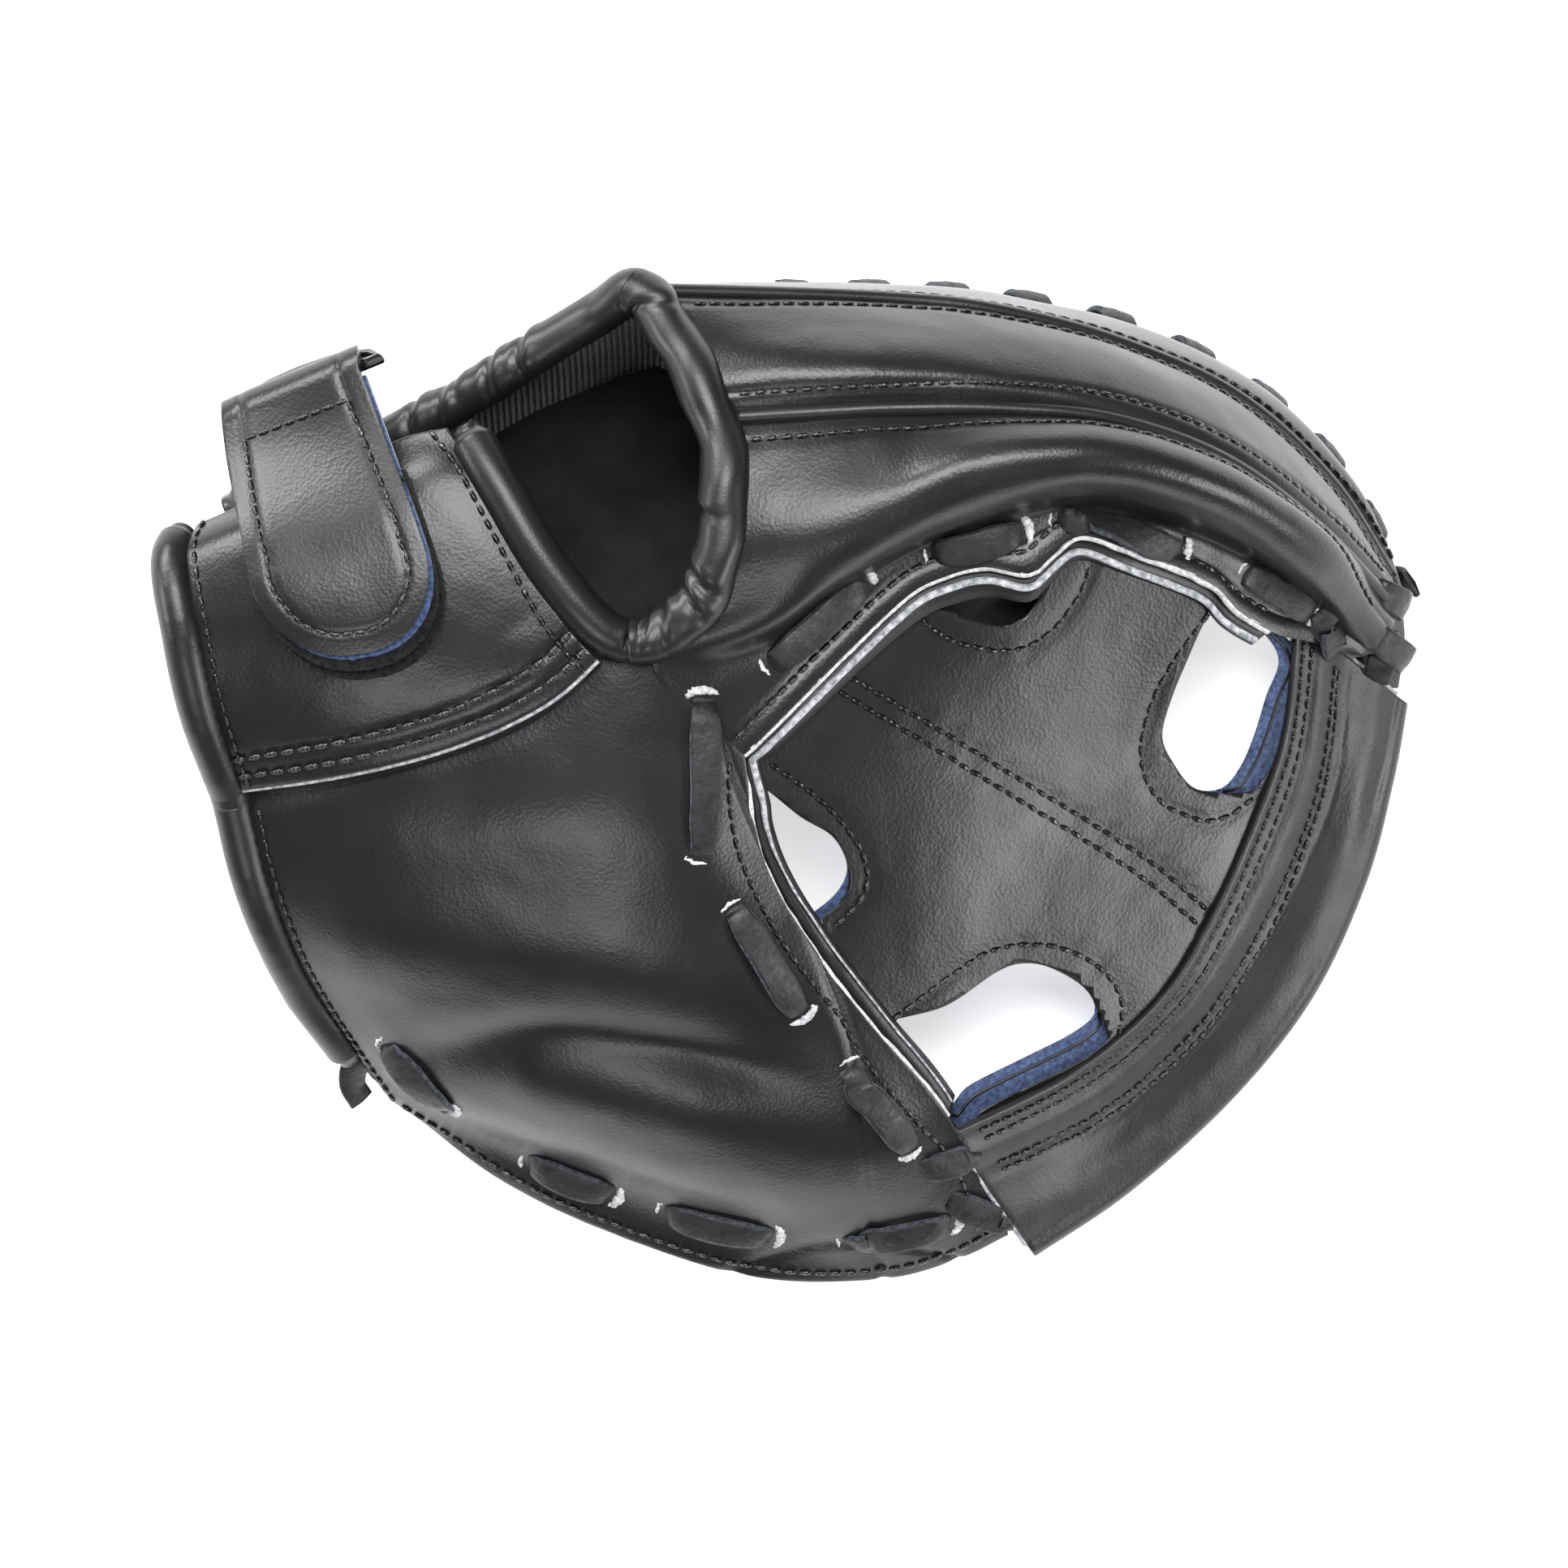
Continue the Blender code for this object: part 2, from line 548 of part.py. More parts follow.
def make_back(mitt, leather, felt, cloth):
    """Back panels, the pads and linings under them, and the welts in their seams."""
    edge = BINDING_RADIUS + 0.9
    seam = WELT_RADIUS + 0.7
    under_leather = LEATHER / 2 + LAYER_GAP
    thumb = loft(THUMB_BACK, 12, 14)
    strap = loft(WRIST_STRAP, 8, 9)
    index = loft(INDEX_BACK, 11, 16)
    middle = loft(MIDDLE_BACK, 7, 16)
    outer = loft(OUTER_FINGER_BACK, 5, 16)
    wall = loft(HEEL_WALL, 5, 9)
    outlines = {
        "thumb_back_shell": trimmed(thumb, 1.0, 0, (edge, edge, 6, 7, 9.5), 0),
        "wrist_strap_panel": trimmed(strap, 0.4, 0, edge, edge),
        "index_back_shell": trimmed(index, 0, seam, (1, 1, 6.5, 8.5, 7, 6, 6), 0),
        "middle_back_shell": trimmed(middle, seam, seam, edge, 0),
        "outer_finger_back_shell": trimmed(outer, seam, 0, (edge, 0.9, 0.9), 0),
        "little_finger_heel_wall": trimmed(wall, edge, 0, 0, 0.9),
    }
    panels = {name: mitt.sheet(name, outline, LEATHER, leather) for name, outline in outlines.items()}
    pad = trimmed(thumb, first_row=58, last_row=46, first_column=26, last_column=(38, 32, 30))[::2]
    mitt.sheet("thumb_pad", raised(pad, -under_leather - THUMB_PAD / 2), THUMB_PAD, felt)
    below_pad = under_leather + THUMB_PAD + LAYER_GAP + LINING / 2
    lining = trimmed(thumb, first_row=10, last_row=56, first_column=22, last_column=30)[::2]
    mitt.sheet("thumb_back_lining", raised(lining, -below_pad), LINING, cloth)
    crest = loft([row[:5] for row in INDEX_BACK[2:]], 5, 7)
    stall = trimmed(crest, first_row=(14, 18, 21), last_row=9, first_column=14, last_column=14)
    in_pad = under_leather + CREST_GAP + FINGER_PAD / 2
    mitt.sheet("index_finger_pad", raised(stall, -in_pad), FINGER_PAD, felt)
    below_pad = under_leather + CREST_GAP + FINGER_PAD + LAYER_GAP + LINING / 2
    mitt.sheet("index_finger_lining", raised(stall, -below_pad), LINING, cloth)
    lining = trimmed(middle, first_row=6, last_row=6, first_column=12, last_column=26)
    mitt.sheet("middle_finger_lining", raised(lining, -under_leather - LINING / 2), LINING, cloth)
    lining = trimmed(wall, first_row=edge + 1, last_row=14, first_column=2, last_column=6)
    mitt.sheet("heel_wall_lining", raised(lining, -under_leather - LINING / 2), LINING, cloth)
    mitt.tube("finger_welt_1", walk(index[-1], edge + 1, 12), WELT_RADIUS, leather)
    mitt.tube("finger_welt_2", walk(middle[-1], edge + 2, 22), WELT_RADIUS, leather)
    mitt.tube("wrist_binding_strap_side", strap[:, 0], BINDING_RADIUS, leather)
    mitt.tube("wrist_binding_thumb_side", walk(thumb[:, 0], 0, 6), BINDING_RADIUS, leather)
    mitt.tube("opening_binding_strap_side", walk(strap[:, -1], 2.5, 0), BINDING_RADIUS, leather)
    mitt.tube("opening_binding_finger_side", spline(FINGER_BINDING, 19), BINDING_RADIUS, leather)
    mitt.tube("opening_binding_heel_side", walk(wall[0], 0, 8), BINDING_RADIUS, leather)
    return panels


def make_web(mitt, leather, suede, felt):
    """Two plies of web with their holes, and the bar folded over their outer edge."""
    grid = loft(WEB, 9, 12)
    upper = mitt.sheet("web_back_ply", grid, WEB_PLY, leather)
    lower = mitt.sheet("web_front_ply", raised(grid, -WEB_PLY - WEB_PLY_GAP), WEB_PLY, suede)
    for name, outline in WEB_HOLES.items():
        cut(upper, mitt.prism(name, outline, 0, 110))
        cut(lower, bpy.data.objects[name])
    top = loft(BAR, 4, 13)
    drop = np.zeros_like(top)
    drop[..., 2] = spread(BAR_DEPTH, len(top))[:, None]
    outward = top[-1] - top[-2]
    outward[:, 2] = 0
    outward /= np.linalg.norm(outward, axis=1, keepdims=True)
    fold = top[-1] + BAR_DEPTH[-1] / 2 * (outward - (0, 0, 1))
    bar = mitt.sheet("web_bar", np.vstack([top, fold[None], (top - drop)[::-1]]), WEB_PLY, leather)
    mitt.tube("web_bar_core", walk(top[-1] - (0, 0, BAR_DEPTH[-1] / 2), 2, 2), BAR_CORE_RADIUS, felt)
    return [upper, lower], bar


def make_laces(mitt, lace_leather, panels, palms, plies):
    back = Surface(THUMB_BACK, INDEX_BACK)
    palm = Surface(THUMB_PALM, FINGER_PALM)
    thumb_back, index_back = panels["thumb_back_shell"], panels["index_back_shell"]
    around_crotch = [thumb_back, index_back, *palms, *plies]
    path, widths = stitched_path(CROTCH_STRETCHES, back, palm, low=6.4)
    add_lace(mitt, "crotch_lace_finger_side", path, widths, lace_leather, around_crotch)
    path, widths = stitched_path(CROTCH_THUMB_STRETCHES, back, palm)
    add_lace(mitt, "crotch_lace_thumb_side", path, widths, lace_leather, [thumb_back, palms[0], *plies])
    path, widths = stitched_path(THUMB_RIM_STRETCHES, back, palm)
    add_lace(mitt, "thumb_rim_lace", path, widths, lace_leather, [thumb_back, palms[0]])
    outer_back = panels["outer_finger_back_shell"]
    across_web = [*palms, *plies, thumb_back, index_back, outer_back, panels["web_bar"]]
    over = Surface(THUMB_BACK, INDEX_BACK, BAR)
    bar_underside = [[(x, y, z - depth) for x, y, z in row] for row, depth in zip(BAR, BAR_DEPTH)]
    under = Surface(THUMB_PALM, FINGER_PALM, bar_underside)
    for name, stretch in WEB_TIES.items():
        path, widths = stitched_path((stretch,), over, under)
        add_lace(mitt, name, path, widths, lace_leather, across_web)
    path, widths = rim_lace_path(OUTER_FINGER_BACK[-1][1:], FINGER_PALM[-1][3:], FINGER_RIM_TURNS)
    add_lace(mitt, "finger_rim_lace", path, widths, lace_leather, [outer_back, palms[1]])


def make_loops(mitt, leather):
    """The two loops inside that the thumb and the little finger go through."""
    loops = {"thumb_loop": (THUMB_LOOP, THUMB_PALM), "little_finger_loop": (LITTLE_FINGER_LOOP, FINGER_PALM)}
    for name, (loop, palm) in loops.items():
        path, widths = arch(*loop, Surface(palm))
        mitt.ribbon(name, path, widths, LOOP_BAND, LACE_THICKNESS, leather)


def make_strap(mitt, leather, hook, metal):
    """Pull strap with its fastening, the run under it, and the ring and tab that hold its fold."""
    panel = Surface(WRIST_STRAP)
    mitt.sheet("loop_patch", strap_rows(widened(PULL_STRAP_EDGES[2:], 4.5), 6, panel, LOOP_HEIGHT), 1.4, hook)
    mitt.sheet("hook_patch", strap_rows(widened(PULL_STRAP_EDGES[2:5], -4), 5, panel, HOOK_HEIGHT), 1.4, hook)
    mitt.sheet("pull_strap", strap_rows(PULL_STRAP_EDGES, 6, panel, PULL_HEIGHT), LEATHER, leather)
    mitt.sheet("strap_run", strap_rows(STRAP_RUN, 5, panel, 0), LEATHER, leather)
    start, end = np.array(FOLD_AXIS)
    bar = (end - start) / np.linalg.norm(end - start)
    start = start + bar * RING_SET_IN
    middle = (start + end) / 2
    reach = np.cross(bar, (0, 0, 1))
    reach /= -np.linalg.norm(reach)
    reach = reach * 0.45 - np.array((0, 0, 1)) * 0.89
    half = np.linalg.norm(end - start) / 2
    angles = np.linspace(0, math.pi, 9)[:, None]
    arc = middle + bar * half * np.cos(angles) + reach * RING_REACH * np.sin(angles)
    mitt.tube("d_ring", np.vstack([arc, [start + bar * half, ]]), RING_WIRE, metal, closed=True)
    tab = []
    for along, out, down in RING_TAB:
        tab.append([middle + bar * side * along + (0, out, -down) for side in (-1, -0.33, 0.33, 1)])
    mitt.sheet("ring_tab", np.array(tab), LEATHER, leather)


def hang_on(mitt, name, place, nodes):
    """Parents a moving body's nodes to an empty that stands on their joint's axis."""
    axis = mitt.add(name, None, None)
    axis.location = (np.array(place) - ORIGIN) * MM
    axis.empty_display_size = 20 * MM
    bpy.context.view_layer.update()
    for node in nodes:
        part = bpy.data.objects[node]
        part.parent = axis
        part.matrix_parent_inverse = axis.matrix_world.inverted()


def main():
    clear_scene()
    mitt = Mitt()
    leather = material("black_leather", BLACK, 0.42)
    lace_leather = material("lace_leather", LACE_BLACK, 0.5)
    cloth = material("lining_cloth", BLACK, 0.85)
    felt = material("pad_felt", FELT_GREY, 0.95)
    suede = material("blue_suede", SUEDE_BLUE, 0.9)
    hook = material("hook_tape", METAL_BLACK, 0.8)
    metal = material("black_metal", METAL_BLACK, 0.3, 1.0)
    palms = make_palm(mitt, leather, felt, cloth)
    panels = make_back(mitt, leather, felt, cloth)
    plies, panels["web_bar"] = make_web(mitt, leather, suede, felt)
    make_laces(mitt, lace_leather, panels, palms, plies)
    for item in (*palms, *plies, *panels.values()):
        keep_largest_body(item)
    make_strap(mitt, leather, hook, metal)
    make_loops(mitt, leather)
    hang_on(mitt, "mitt_close_axis", CLOSING_AXIS, THUMB_HALF)
    hang_on(mitt, "strap_peel_axis", FOLD_AXIS[0], ("pull_strap", "hook_patch"))
    hang_on(mitt, "ring_swing_axis", FOLD_AXIS[0], ("d_ring",))


main()
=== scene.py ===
"""Looks for the catcher's mitt: leather, stitching, laces, bindings, linings, floor, light and camera.

Nets are in millimetres in the mitt's plan: +X to the finger tips, +Y to the little finger, +Z to the back
of the hand. ORIGIN is the frame's origin in those coordinates, and to_frame() turns them into metres.
"""

import json
import math

import bmesh
import bpy
import numpy as np
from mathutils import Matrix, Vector, noise
from mathutils.bvhtree import BVHTree


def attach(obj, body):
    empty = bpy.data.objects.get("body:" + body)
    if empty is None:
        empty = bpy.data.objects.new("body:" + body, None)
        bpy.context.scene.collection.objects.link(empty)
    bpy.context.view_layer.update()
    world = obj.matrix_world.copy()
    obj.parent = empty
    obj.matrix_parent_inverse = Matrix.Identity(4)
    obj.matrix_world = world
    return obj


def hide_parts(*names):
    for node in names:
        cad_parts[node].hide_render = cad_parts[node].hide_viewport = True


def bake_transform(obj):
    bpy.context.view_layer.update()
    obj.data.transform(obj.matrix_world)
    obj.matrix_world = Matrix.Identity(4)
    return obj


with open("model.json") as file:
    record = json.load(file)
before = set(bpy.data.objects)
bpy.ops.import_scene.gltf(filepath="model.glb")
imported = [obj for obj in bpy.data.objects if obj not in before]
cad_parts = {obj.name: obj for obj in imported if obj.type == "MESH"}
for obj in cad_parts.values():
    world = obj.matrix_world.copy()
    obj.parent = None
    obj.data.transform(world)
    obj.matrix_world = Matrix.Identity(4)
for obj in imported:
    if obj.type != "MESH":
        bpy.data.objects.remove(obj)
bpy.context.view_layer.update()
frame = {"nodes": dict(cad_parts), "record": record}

MM = 0.001
ORIGIN = np.array((2.3, 0.2, 0.4))
LEATHER = 2.4
LINING = 1.2
BINDING_SIDES = 24
WELT_RADIUS = 1.9
LACE_WIDTH = 7.6
LACE_THICKNESS = 1.7
THREAD_RADIUS = 0.66
STITCH_LENGTH = 2.8
STITCH_PITCH = 3.7
STITCH_SINK = 0.05
STITCH_LIFT = 1.2
CLOSE_PITCH = 3.4
SEAM_PITCH = 4.4
SEAM_THREAD_RADIUS = 0.95
LACE_CROWN = 0.35
WEB_PLY = 2.0
RIM_LACE_SET_IN = 4.0
RIM_LACE_REACH = 8.6
RIM_LACE_RISE = 7.5

CAMERA_HEIGHT = 3.0
PHOTO_WIDTH = 0.3864
MID_DEPTH = 0.06

FINGER_HALF = "finger_half"
THUMB_HALF = "thumb_half"
BEND_START = 12.0  # across the mitt, where the closing bend starts and ends

# Thumb side of the back: from the wrist strap's seam and the crotch to the rim on the table.
THUMB_BACK = (
    ((-136, -1.5, 72), (-104, 4.5, 84), (-76, 12.5, 90.4), (-54, 24, 94), (-37.5, 33.5, 95.8),
     (-22.5, 20, 91.5), (-10, 7.5, 84.2)),
    ((-131.5, -22, 65), (-102, -16, 79), (-74, -12, 86), (-50, -8, 90), (-34, -6, 90), (-20, -12, 85),
     (-6, -17, 77)),
    ((-126, -38, 54), (-96, -38, 68), (-70, -38, 74), (-44, -38, 77), (-24, -38, 76), (-6, -38, 72),
     (6, -39, 68)),
    ((-119, -52, 40), (-90, -57, 53), (-62, -60, 60), (-34, -62, 62), (-10, -62, 61), (10, -60, 60),
     (22, -60, 57)),
    ((-112, -62, 30), (-86, -74, 36), (-56, -84, 40), (-24, -92, 42), (4, -94, 42), (24, -88, 46),
     (36, -76, 47)),
    ((-107, -69, 22), (-82, -84, 20), (-52, -98, 18), (-16, -111, 16), (14, -114, 18), (36, -106, 26),
     (44, -88, 37)),
    ((-102, -75, 15), (-79, -93.5, 10), (-48, -110, 8), (-10, -122.5, 7), (24, -123.5, 7), (44, -118, 10),
     (56, -112, 14)),
)

# Back of the wrist, from the seam with the thumb side to the edge that curls over the little finger side.
WRIST_STRAP = (
    ((-136.5, -1, 74), (-107, 3, 87), (-80, 10, 93), (-58, 20, 97), (-43.5, 32.5, 98)),
    ((-143, 18, 88), (-112, 22, 97), (-88, 28, 101), (-68, 34, 102), (-52, 42, 101)),
    ((-147, 38, 95), (-118, 42, 101), (-94, 46, 103.5), (-76, 53, 104), (-61, 57, 102)),
    ((-149.5, 54, 92), (-124, 62, 98), (-100, 68, 101), (-84, 74, 102), (-71, 74, 101)),
    ((-147, 61, 84), (-124, 71, 90), (-104, 79, 93), (-91, 84.5, 95), (-79, 87, 97)),
)

# The seams between the finger stalls, each shared by the nets on both of its sides.
FIRST_SEAM = ((-16.8, 89, 100), (8, 90.5, 99), (28, 91.5, 97), (52, 91.5, 94), (80, 89, 88), (108, 79.5, 75),
              (132, 63, 54), (152, 44, 26))
SECOND_SEAM = ((-34, 120.5, 87), (0, 120, 78), (28, 119, 71), (52, 116.5, 66), (82, 109, 57), (112, 96, 45),
               (136, 75, 31), (153, 49.5, 18))

# Index finger stall: flange along the crotch, overhang, crest, first seam.
INDEX_BACK = (
    ((-11.5, 6.5, 84), (2, 20, 84), (18, 35.5, 82), (40, 52, 80), (73, 62, 76), (100, 52.5, 62),
     (123, 38.5, 45), (141, 32.5, 31)),
    ((-35, 31, 95), (-9, 33, 90), (12, 46, 86), (36, 60, 83), (68, 69, 79), (97, 64, 66),
     (122, 52, 50), (145, 32.5, 30)),
    ((-20.6, 44, 100), (-2, 46, 100), (14, 54, 98), (37, 64, 96), (70, 73, 92), (101, 68, 79),
     (127, 54, 60), (148, 34.5, 30)),
    ((-14.6, 63, 104), (4, 64, 106), (24, 70, 106), (46, 78, 105), (76, 80, 100), (105, 73, 86),
     (130, 59, 63), (150.8, 38.5, 29)),
    FIRST_SEAM,
)

# Middle finger stall, from the first seam over its ridge to the second seam.
MIDDLE_BACK = (
    FIRST_SEAM,
    ((-21.5, 100, 97.5), (8, 101.5, 99), (28, 101, 97), (52, 98.5, 93), (80, 93.5, 86), (109, 82.5, 73),
     (132.5, 66.5, 52), (152.4, 46, 24)),
    ((-27.5, 111, 93), (6, 111, 88), (28, 110, 86), (52, 107.5, 82), (82, 101.5, 74), (110, 89.5, 60),
     (134, 71, 41), (152.8, 47.5, 20)),
    SECOND_SEAM,
)

# Outer wall of the ring and little finger stalls, from the second seam to the rim on the table.
OUTER_FINGER_BACK = (
    SECOND_SEAM,
    ((-34.5, 121.5, 52), (0, 122, 48), (30, 122, 44), (56, 119, 39), (87, 112, 34), (117, 98, 29),
     (139.5, 76, 23), (153.6, 49, 16.5)),
    ((-34, 120.5, 19), (0, 121.5, 17), (31, 121.5, 16), (60, 119, 15.5), (92, 110.5, 15), (122, 93, 14.5),
     (142.5, 71, 14), (154, 48, 14)),
)

# Side wall of the hand cavity on the little finger side, from its bound edge down to the palm.
HEEL_WALL = (
    ((-137, 67, 60), (-112, 78, 65), (-84, 91.6, 72), (-59, 107, 80), (-36.4, 120.5, 86)),
    ((-139, 70, 46), (-113, 83, 46), (-86, 95, 47), (-60, 109.5, 49), (-36.5, 121.5, 52)),
    ((-138, 68, 30), (-112, 82, 20), (-84, 94.5, 16), (-58, 109, 17), (-36, 120, 18)),
)

# Palm side, each half from the crease that the mitt folds on, down to the rim on the table.
THUMB_PALM = (
    ((-138, 5, 27), (-108, 5, 27), (-80, 5, 31), (-52, 5, 40), (-30, 5, 57), (-13, 3.5, 73)),
    ((-133, -18, 28), (-104, -22, 29), (-74, -24, 32), (-46, -24, 38), (-22, -24, 49), (-3, -23, 64)),
    ((-126, -38, 25), (-96, -44, 26), (-66, -48, 27), (-36, -50, 30), (-10, -50, 37), (12, -49, 49.5)),
    ((-115, -57, 19), (-88, -68, 16), (-56, -78, 14), (-22, -84, 15), (8, -86, 21), (33, -73, 36.5)),
    ((-103, -73, 9), (-79, -91.5, 4.5), (-48, -108, 2.6), (-10, -120.5, 2), (24, -121.5, 2), (53, -110, 6)),
)
FINGER_PALM = (
    ((-138, 5, 27), (-95, 5, 28.5), (-52, 5, 40), (-13, 6.5, 73), (18, 36, 71), (73, 61, 63.5),
     (110, 45, 39.5), (144, 37, 18)),
    ((-139, 28, 27), (-95, 32, 29), (-50, 36, 37), (-8, 36, 56), (32, 64, 56), (76, 74, 50),
     (113, 60, 34), (147.5, 39.5, 17)),
    ((-139, 50, 27), (-95, 62, 23), (-50, 78, 24), (-2, 82, 32), (38, 94, 32), (82, 93, 26),
     (120, 76, 20), (150.5, 43, 12)),
    ((-137, 65, 24), (-98, 87, 15), (-48, 112, 11), (2, 120, 9.5), (45, 119, 9), (90, 110, 8.5),
     (127, 87, 8), (152.5, 47.5, 8)),
)

# Web, from its thumb side to its finger side. Its rows run from the crotch out to the bar.
WEB = (
    ((4, -48, 60.5), (22, -70, 46.5), (38, -84, 33.5), (53, -87, 27.5), (61, -97, 14)),
    ((-8, -18, 69), (26, -40, 54), (58, -54, 36), (88, -61, 21), (97, -67, 9)),
    ((-13, 6, 79.5), (32, -8, 62), (74, -18, 40), (109, -29, 21.5), (121, -36, 8.7)),
    ((8, 33, 78.5), (46, 24, 66), (86, 12, 44), (120, -1, 25), (134, -3, 11.5)),
    ((34, 53, 74), (66, 62, 71), (98, 57, 57.5), (127, 34.5, 36), (138.5, 29, 22)),
)

# Folded leather bar round the outer edge of the web, from its finger end to its thumb end: the line of
# its upper ply's inner edge, its second stitching, and its outer edge.
BAR = (
    ((127, 42, 40), (124.5, 14, 30), (117.5, -8, 26), (107, -32, 24), (93.5, -54, 23.5), (72, -71.5, 27),
     (42, -86, 40)),
    ((141, 31.5, 26), (137, 4, 18), (130.5, -16, 15), (119, -39, 14), (103, -61, 14), (80, -83, 16),
     (50, -100, 27)),
    ((152.8, 22.5, 15), (148.8, 1, 10), (142.5, -23, 8.5), (130, -50.5, 8), (111, -75, 8), (86, -98, 8.5),
     (60.5, -115, 13)),
)
BAR_DEPTH = (13.8, 11.6, 6.5)  # between the bar's two plies along those three lines

# The roll of leather round the finger side of the back opening.
FINGER_BINDING = (
    (-37.5, 35, 97.5), (-31, 35.5, 98), (-24.8, 39.5, 99.5), (-20, 45.5, 101), (-16.5, 54, 103),
    (-14.6, 64, 104), (-14.4, 76, 103), (-17, 89, 100), (-22, 100.5, 97.5), (-28, 111, 93),
    (-32.5, 118, 90), (-37, 120.5, 88),
)
STRAP_BINDING = (
    (-77.5, 86.5, 97.5), (-71, 75, 101), (-61, 58, 102), (-52.5, 46, 101), (-46, 39, 99.5), (-41.5, 36, 98.2),
    (-37.5, 35, 97.5),
)

# Pull strap, from the fold over its ring to its round end: left and right edge. A third number is the edge's
# own height, and elsewhere the strap lies a set height over the panel.
PULL_STRAP_EDGES = (
    ((-136.5, 87.5, 93.0), (-103.2, 101, 102.0)),
    ((-135, 77, 96.5), (-97.5, 86, 104.5)),
    ((-131.5, 60), (-90, 66)),
    ((-128, 44), (-86, 51)),
    ((-123.5, 35), (-89.5, 41)),
)
STRAP_RUN = (
    ((-134, 50, 88.5), (-108, 63, 95.0)),
    ((-133, 62, 82.5), (-106, 76.5, 89.0)),
    ((-132.5, 75, 82.5), (-105.5, 86, 89.5)),
    ((-131.5, 85.5, 84.5), (-104.5, 96.5, 92.0)),
)
LOOP_HEIGHT = 2.9
HOOK_HEIGHT = 5.2
PULL_HEIGHT = 7.9
FOLD_AXIS = ((-139.5, 87.5, 88.2), (-98.5, 103.5, 97.8))  # the ring's straight bar

# Edge of the back's flange round the web, from the crotch's corner to the finger end, in the plan.
CROTCH_RIM = (
    (-11.5, 6.5), (-8.2, 9), (1, 18), (16.4, 33.4), (30.2, 46.4), (39.4, 51), (49.2, 53.4), (60, 51.8),
    (66, 56.5), (73, 61), (85.4, 57), (98.6, 52.2), (106.8, 48.2), (112, 42.8), (121, 37.5), (130, 35),
)

# Holes through the web, seen square on.
WEB_HOLES = {
    "right_hole": ((108, 46), (118, 38.5), (123, 31), (120, 22), (117, 12), (113.5, 4), (109, -1), (102, -1),
                   (96.5, 5.5), (93.8, 12), (96, 21), (100, 31), (104, 40)),
    "bottom_hole": ((24, -60), (40, -55), (53, -46.5), (60, -44.5), (67, -46), (75, -51), (77.5, -57),
                    (72, -62), (60, -68), (46, -75), (40, -80), (30, -68)),
    "left_hole": ((-6.6, -0.4), (4.2, -8.2), (12, -13), (15.5, -20), (13.5, -26), (8, -31), (2, -34),
                  (-4, -22), (-8, -8)),
    "upper_hole": ((34, 49.5), (37, 44), (47, 40.5), (54, 39), (60, 42), (64.5, 50), (66, 57), (50, 55)),
}

# Where each lace shows on the back, end to end. It runs underneath from one stretch to the next.
CROTCH_STRETCHES = (
    ((-20.4, -16.8), (-20.0, 21.0)),
    ((-3.0, 29.4), (18.8, 50.2)),
    ((36.4, 57.5), (57.5, 62)),
    ((67, 66), (97, 58)),
    ((113.5, 52), (130, 43)),
)
CROTCH_THUMB_STRETCHES = (
    ((-12.2, -30.5), (3.4, -56)),
    ((15.8, -70), (31, -90)),
)
THUMB_RIM_STRETCHES = (
    ((-98, -64), (-83, -80)),
    ((-63, -93.5), (-43, -101.5)),
    ((-29.2, -106.4), (-3, -112)),
    ((16, -113.5), (41, -108.5)),
)
FINGER_RIM_TURNS = 9
WEB_TIES = {
    "web_tie_thumb_inner": ((34, -95), (47, -91)),
    "web_tie_thumb_outer": ((41, -103), (58, -109)),
    "web_tie_finger_inner": ((133, 44), (136, 33)),
}
HOLE_LIPS = {  # which way the blue ply shows as a lip, and how wide
    "right_hole": ((1.0, -0.2), 7.0),
    "bottom_hole": ((0.5, -0.86), 7.0),
    "left_hole": ((0.3, -0.95), 2.6),
    "upper_hole": ((0.0, 1.0), 0.0),
}

# Where the back's edge stitching, the web's and the strap's lie in the plan.
STRAP_SEAM = ((-136, -2.2), (-125, -1.6), (-107, 1.6), (-89, 6.2), (-73, 11.6), (-61, 17.2), (-51, 23.6),
              (-43, 31.8))
WEB_MIDDLE_SEAM = ((14, 25), (31, 15), (60, -2.5), (89, -20.5), (104, -33))
HOLE_SEAMS = {
    "right_seam": ((105, 43), (94, 27), (89, 15), (88.5, 5), (92, -3), (100, -8), (109, -8.5), (117, -3)),
    "bottom_seam": ((26, -58.5), (40, -48), (50, -41.5), (60, -39.5), (70, -41), (79, -46),
                    (84, -54), (83, -63)),
    "left_seam": ((-4, 5.5), (6, -1.5), (14, -9), (19.5, -18), (19.5, -27), (12, -35)),
    "upper_seam": ((31, 43.5), (38, 37), (48, 33.5), (58, 33.5), (66, 38), (72, 46), (75, 54)),
}
# Ridges and hollows of the thumb side: a line in the plan, how far it rises, and how wide it is.
THUMB_RIDGES = (
    (((-104, -40), (-70, -38), (-30, -46), (8, -58)), 1.5, 11),
    (((-60, -74), (-25, -80), (10, -86)), 2.2, 9),
    (((-86, -66), (-55, -61), (-20, -66), (12, -74)), -2.2, 6),
    (((-98, -84), (-70, -91), (-42, -99), (-10, -108), (20, -108)), -1.5, 5),
)

# Distances of seam rows from an edge: the wrist panel's from its seam, the bar's from its inner edge.
PANEL_ROWS = (4.4, 9.6)
BAR_ROWS = (3.4, 6.4, 16.0, 18.8)
STRAP_STITCH_INSET = 5.0
STRAP_COLUMNS = 44
STRAP_ROWS = 100
STRAP_ROUND_SHARE = 0.34  # of the pull strap's rows that draw in to its round end

# The ring's tab, row by row: half its width, how far out it lies, and how far below the ring's bar.
RING_TAB_ROWS = ((8, 4.8, 9.8), (9, 4.2, 13.5), (10, -1, 26), (11, -12.9, 43))

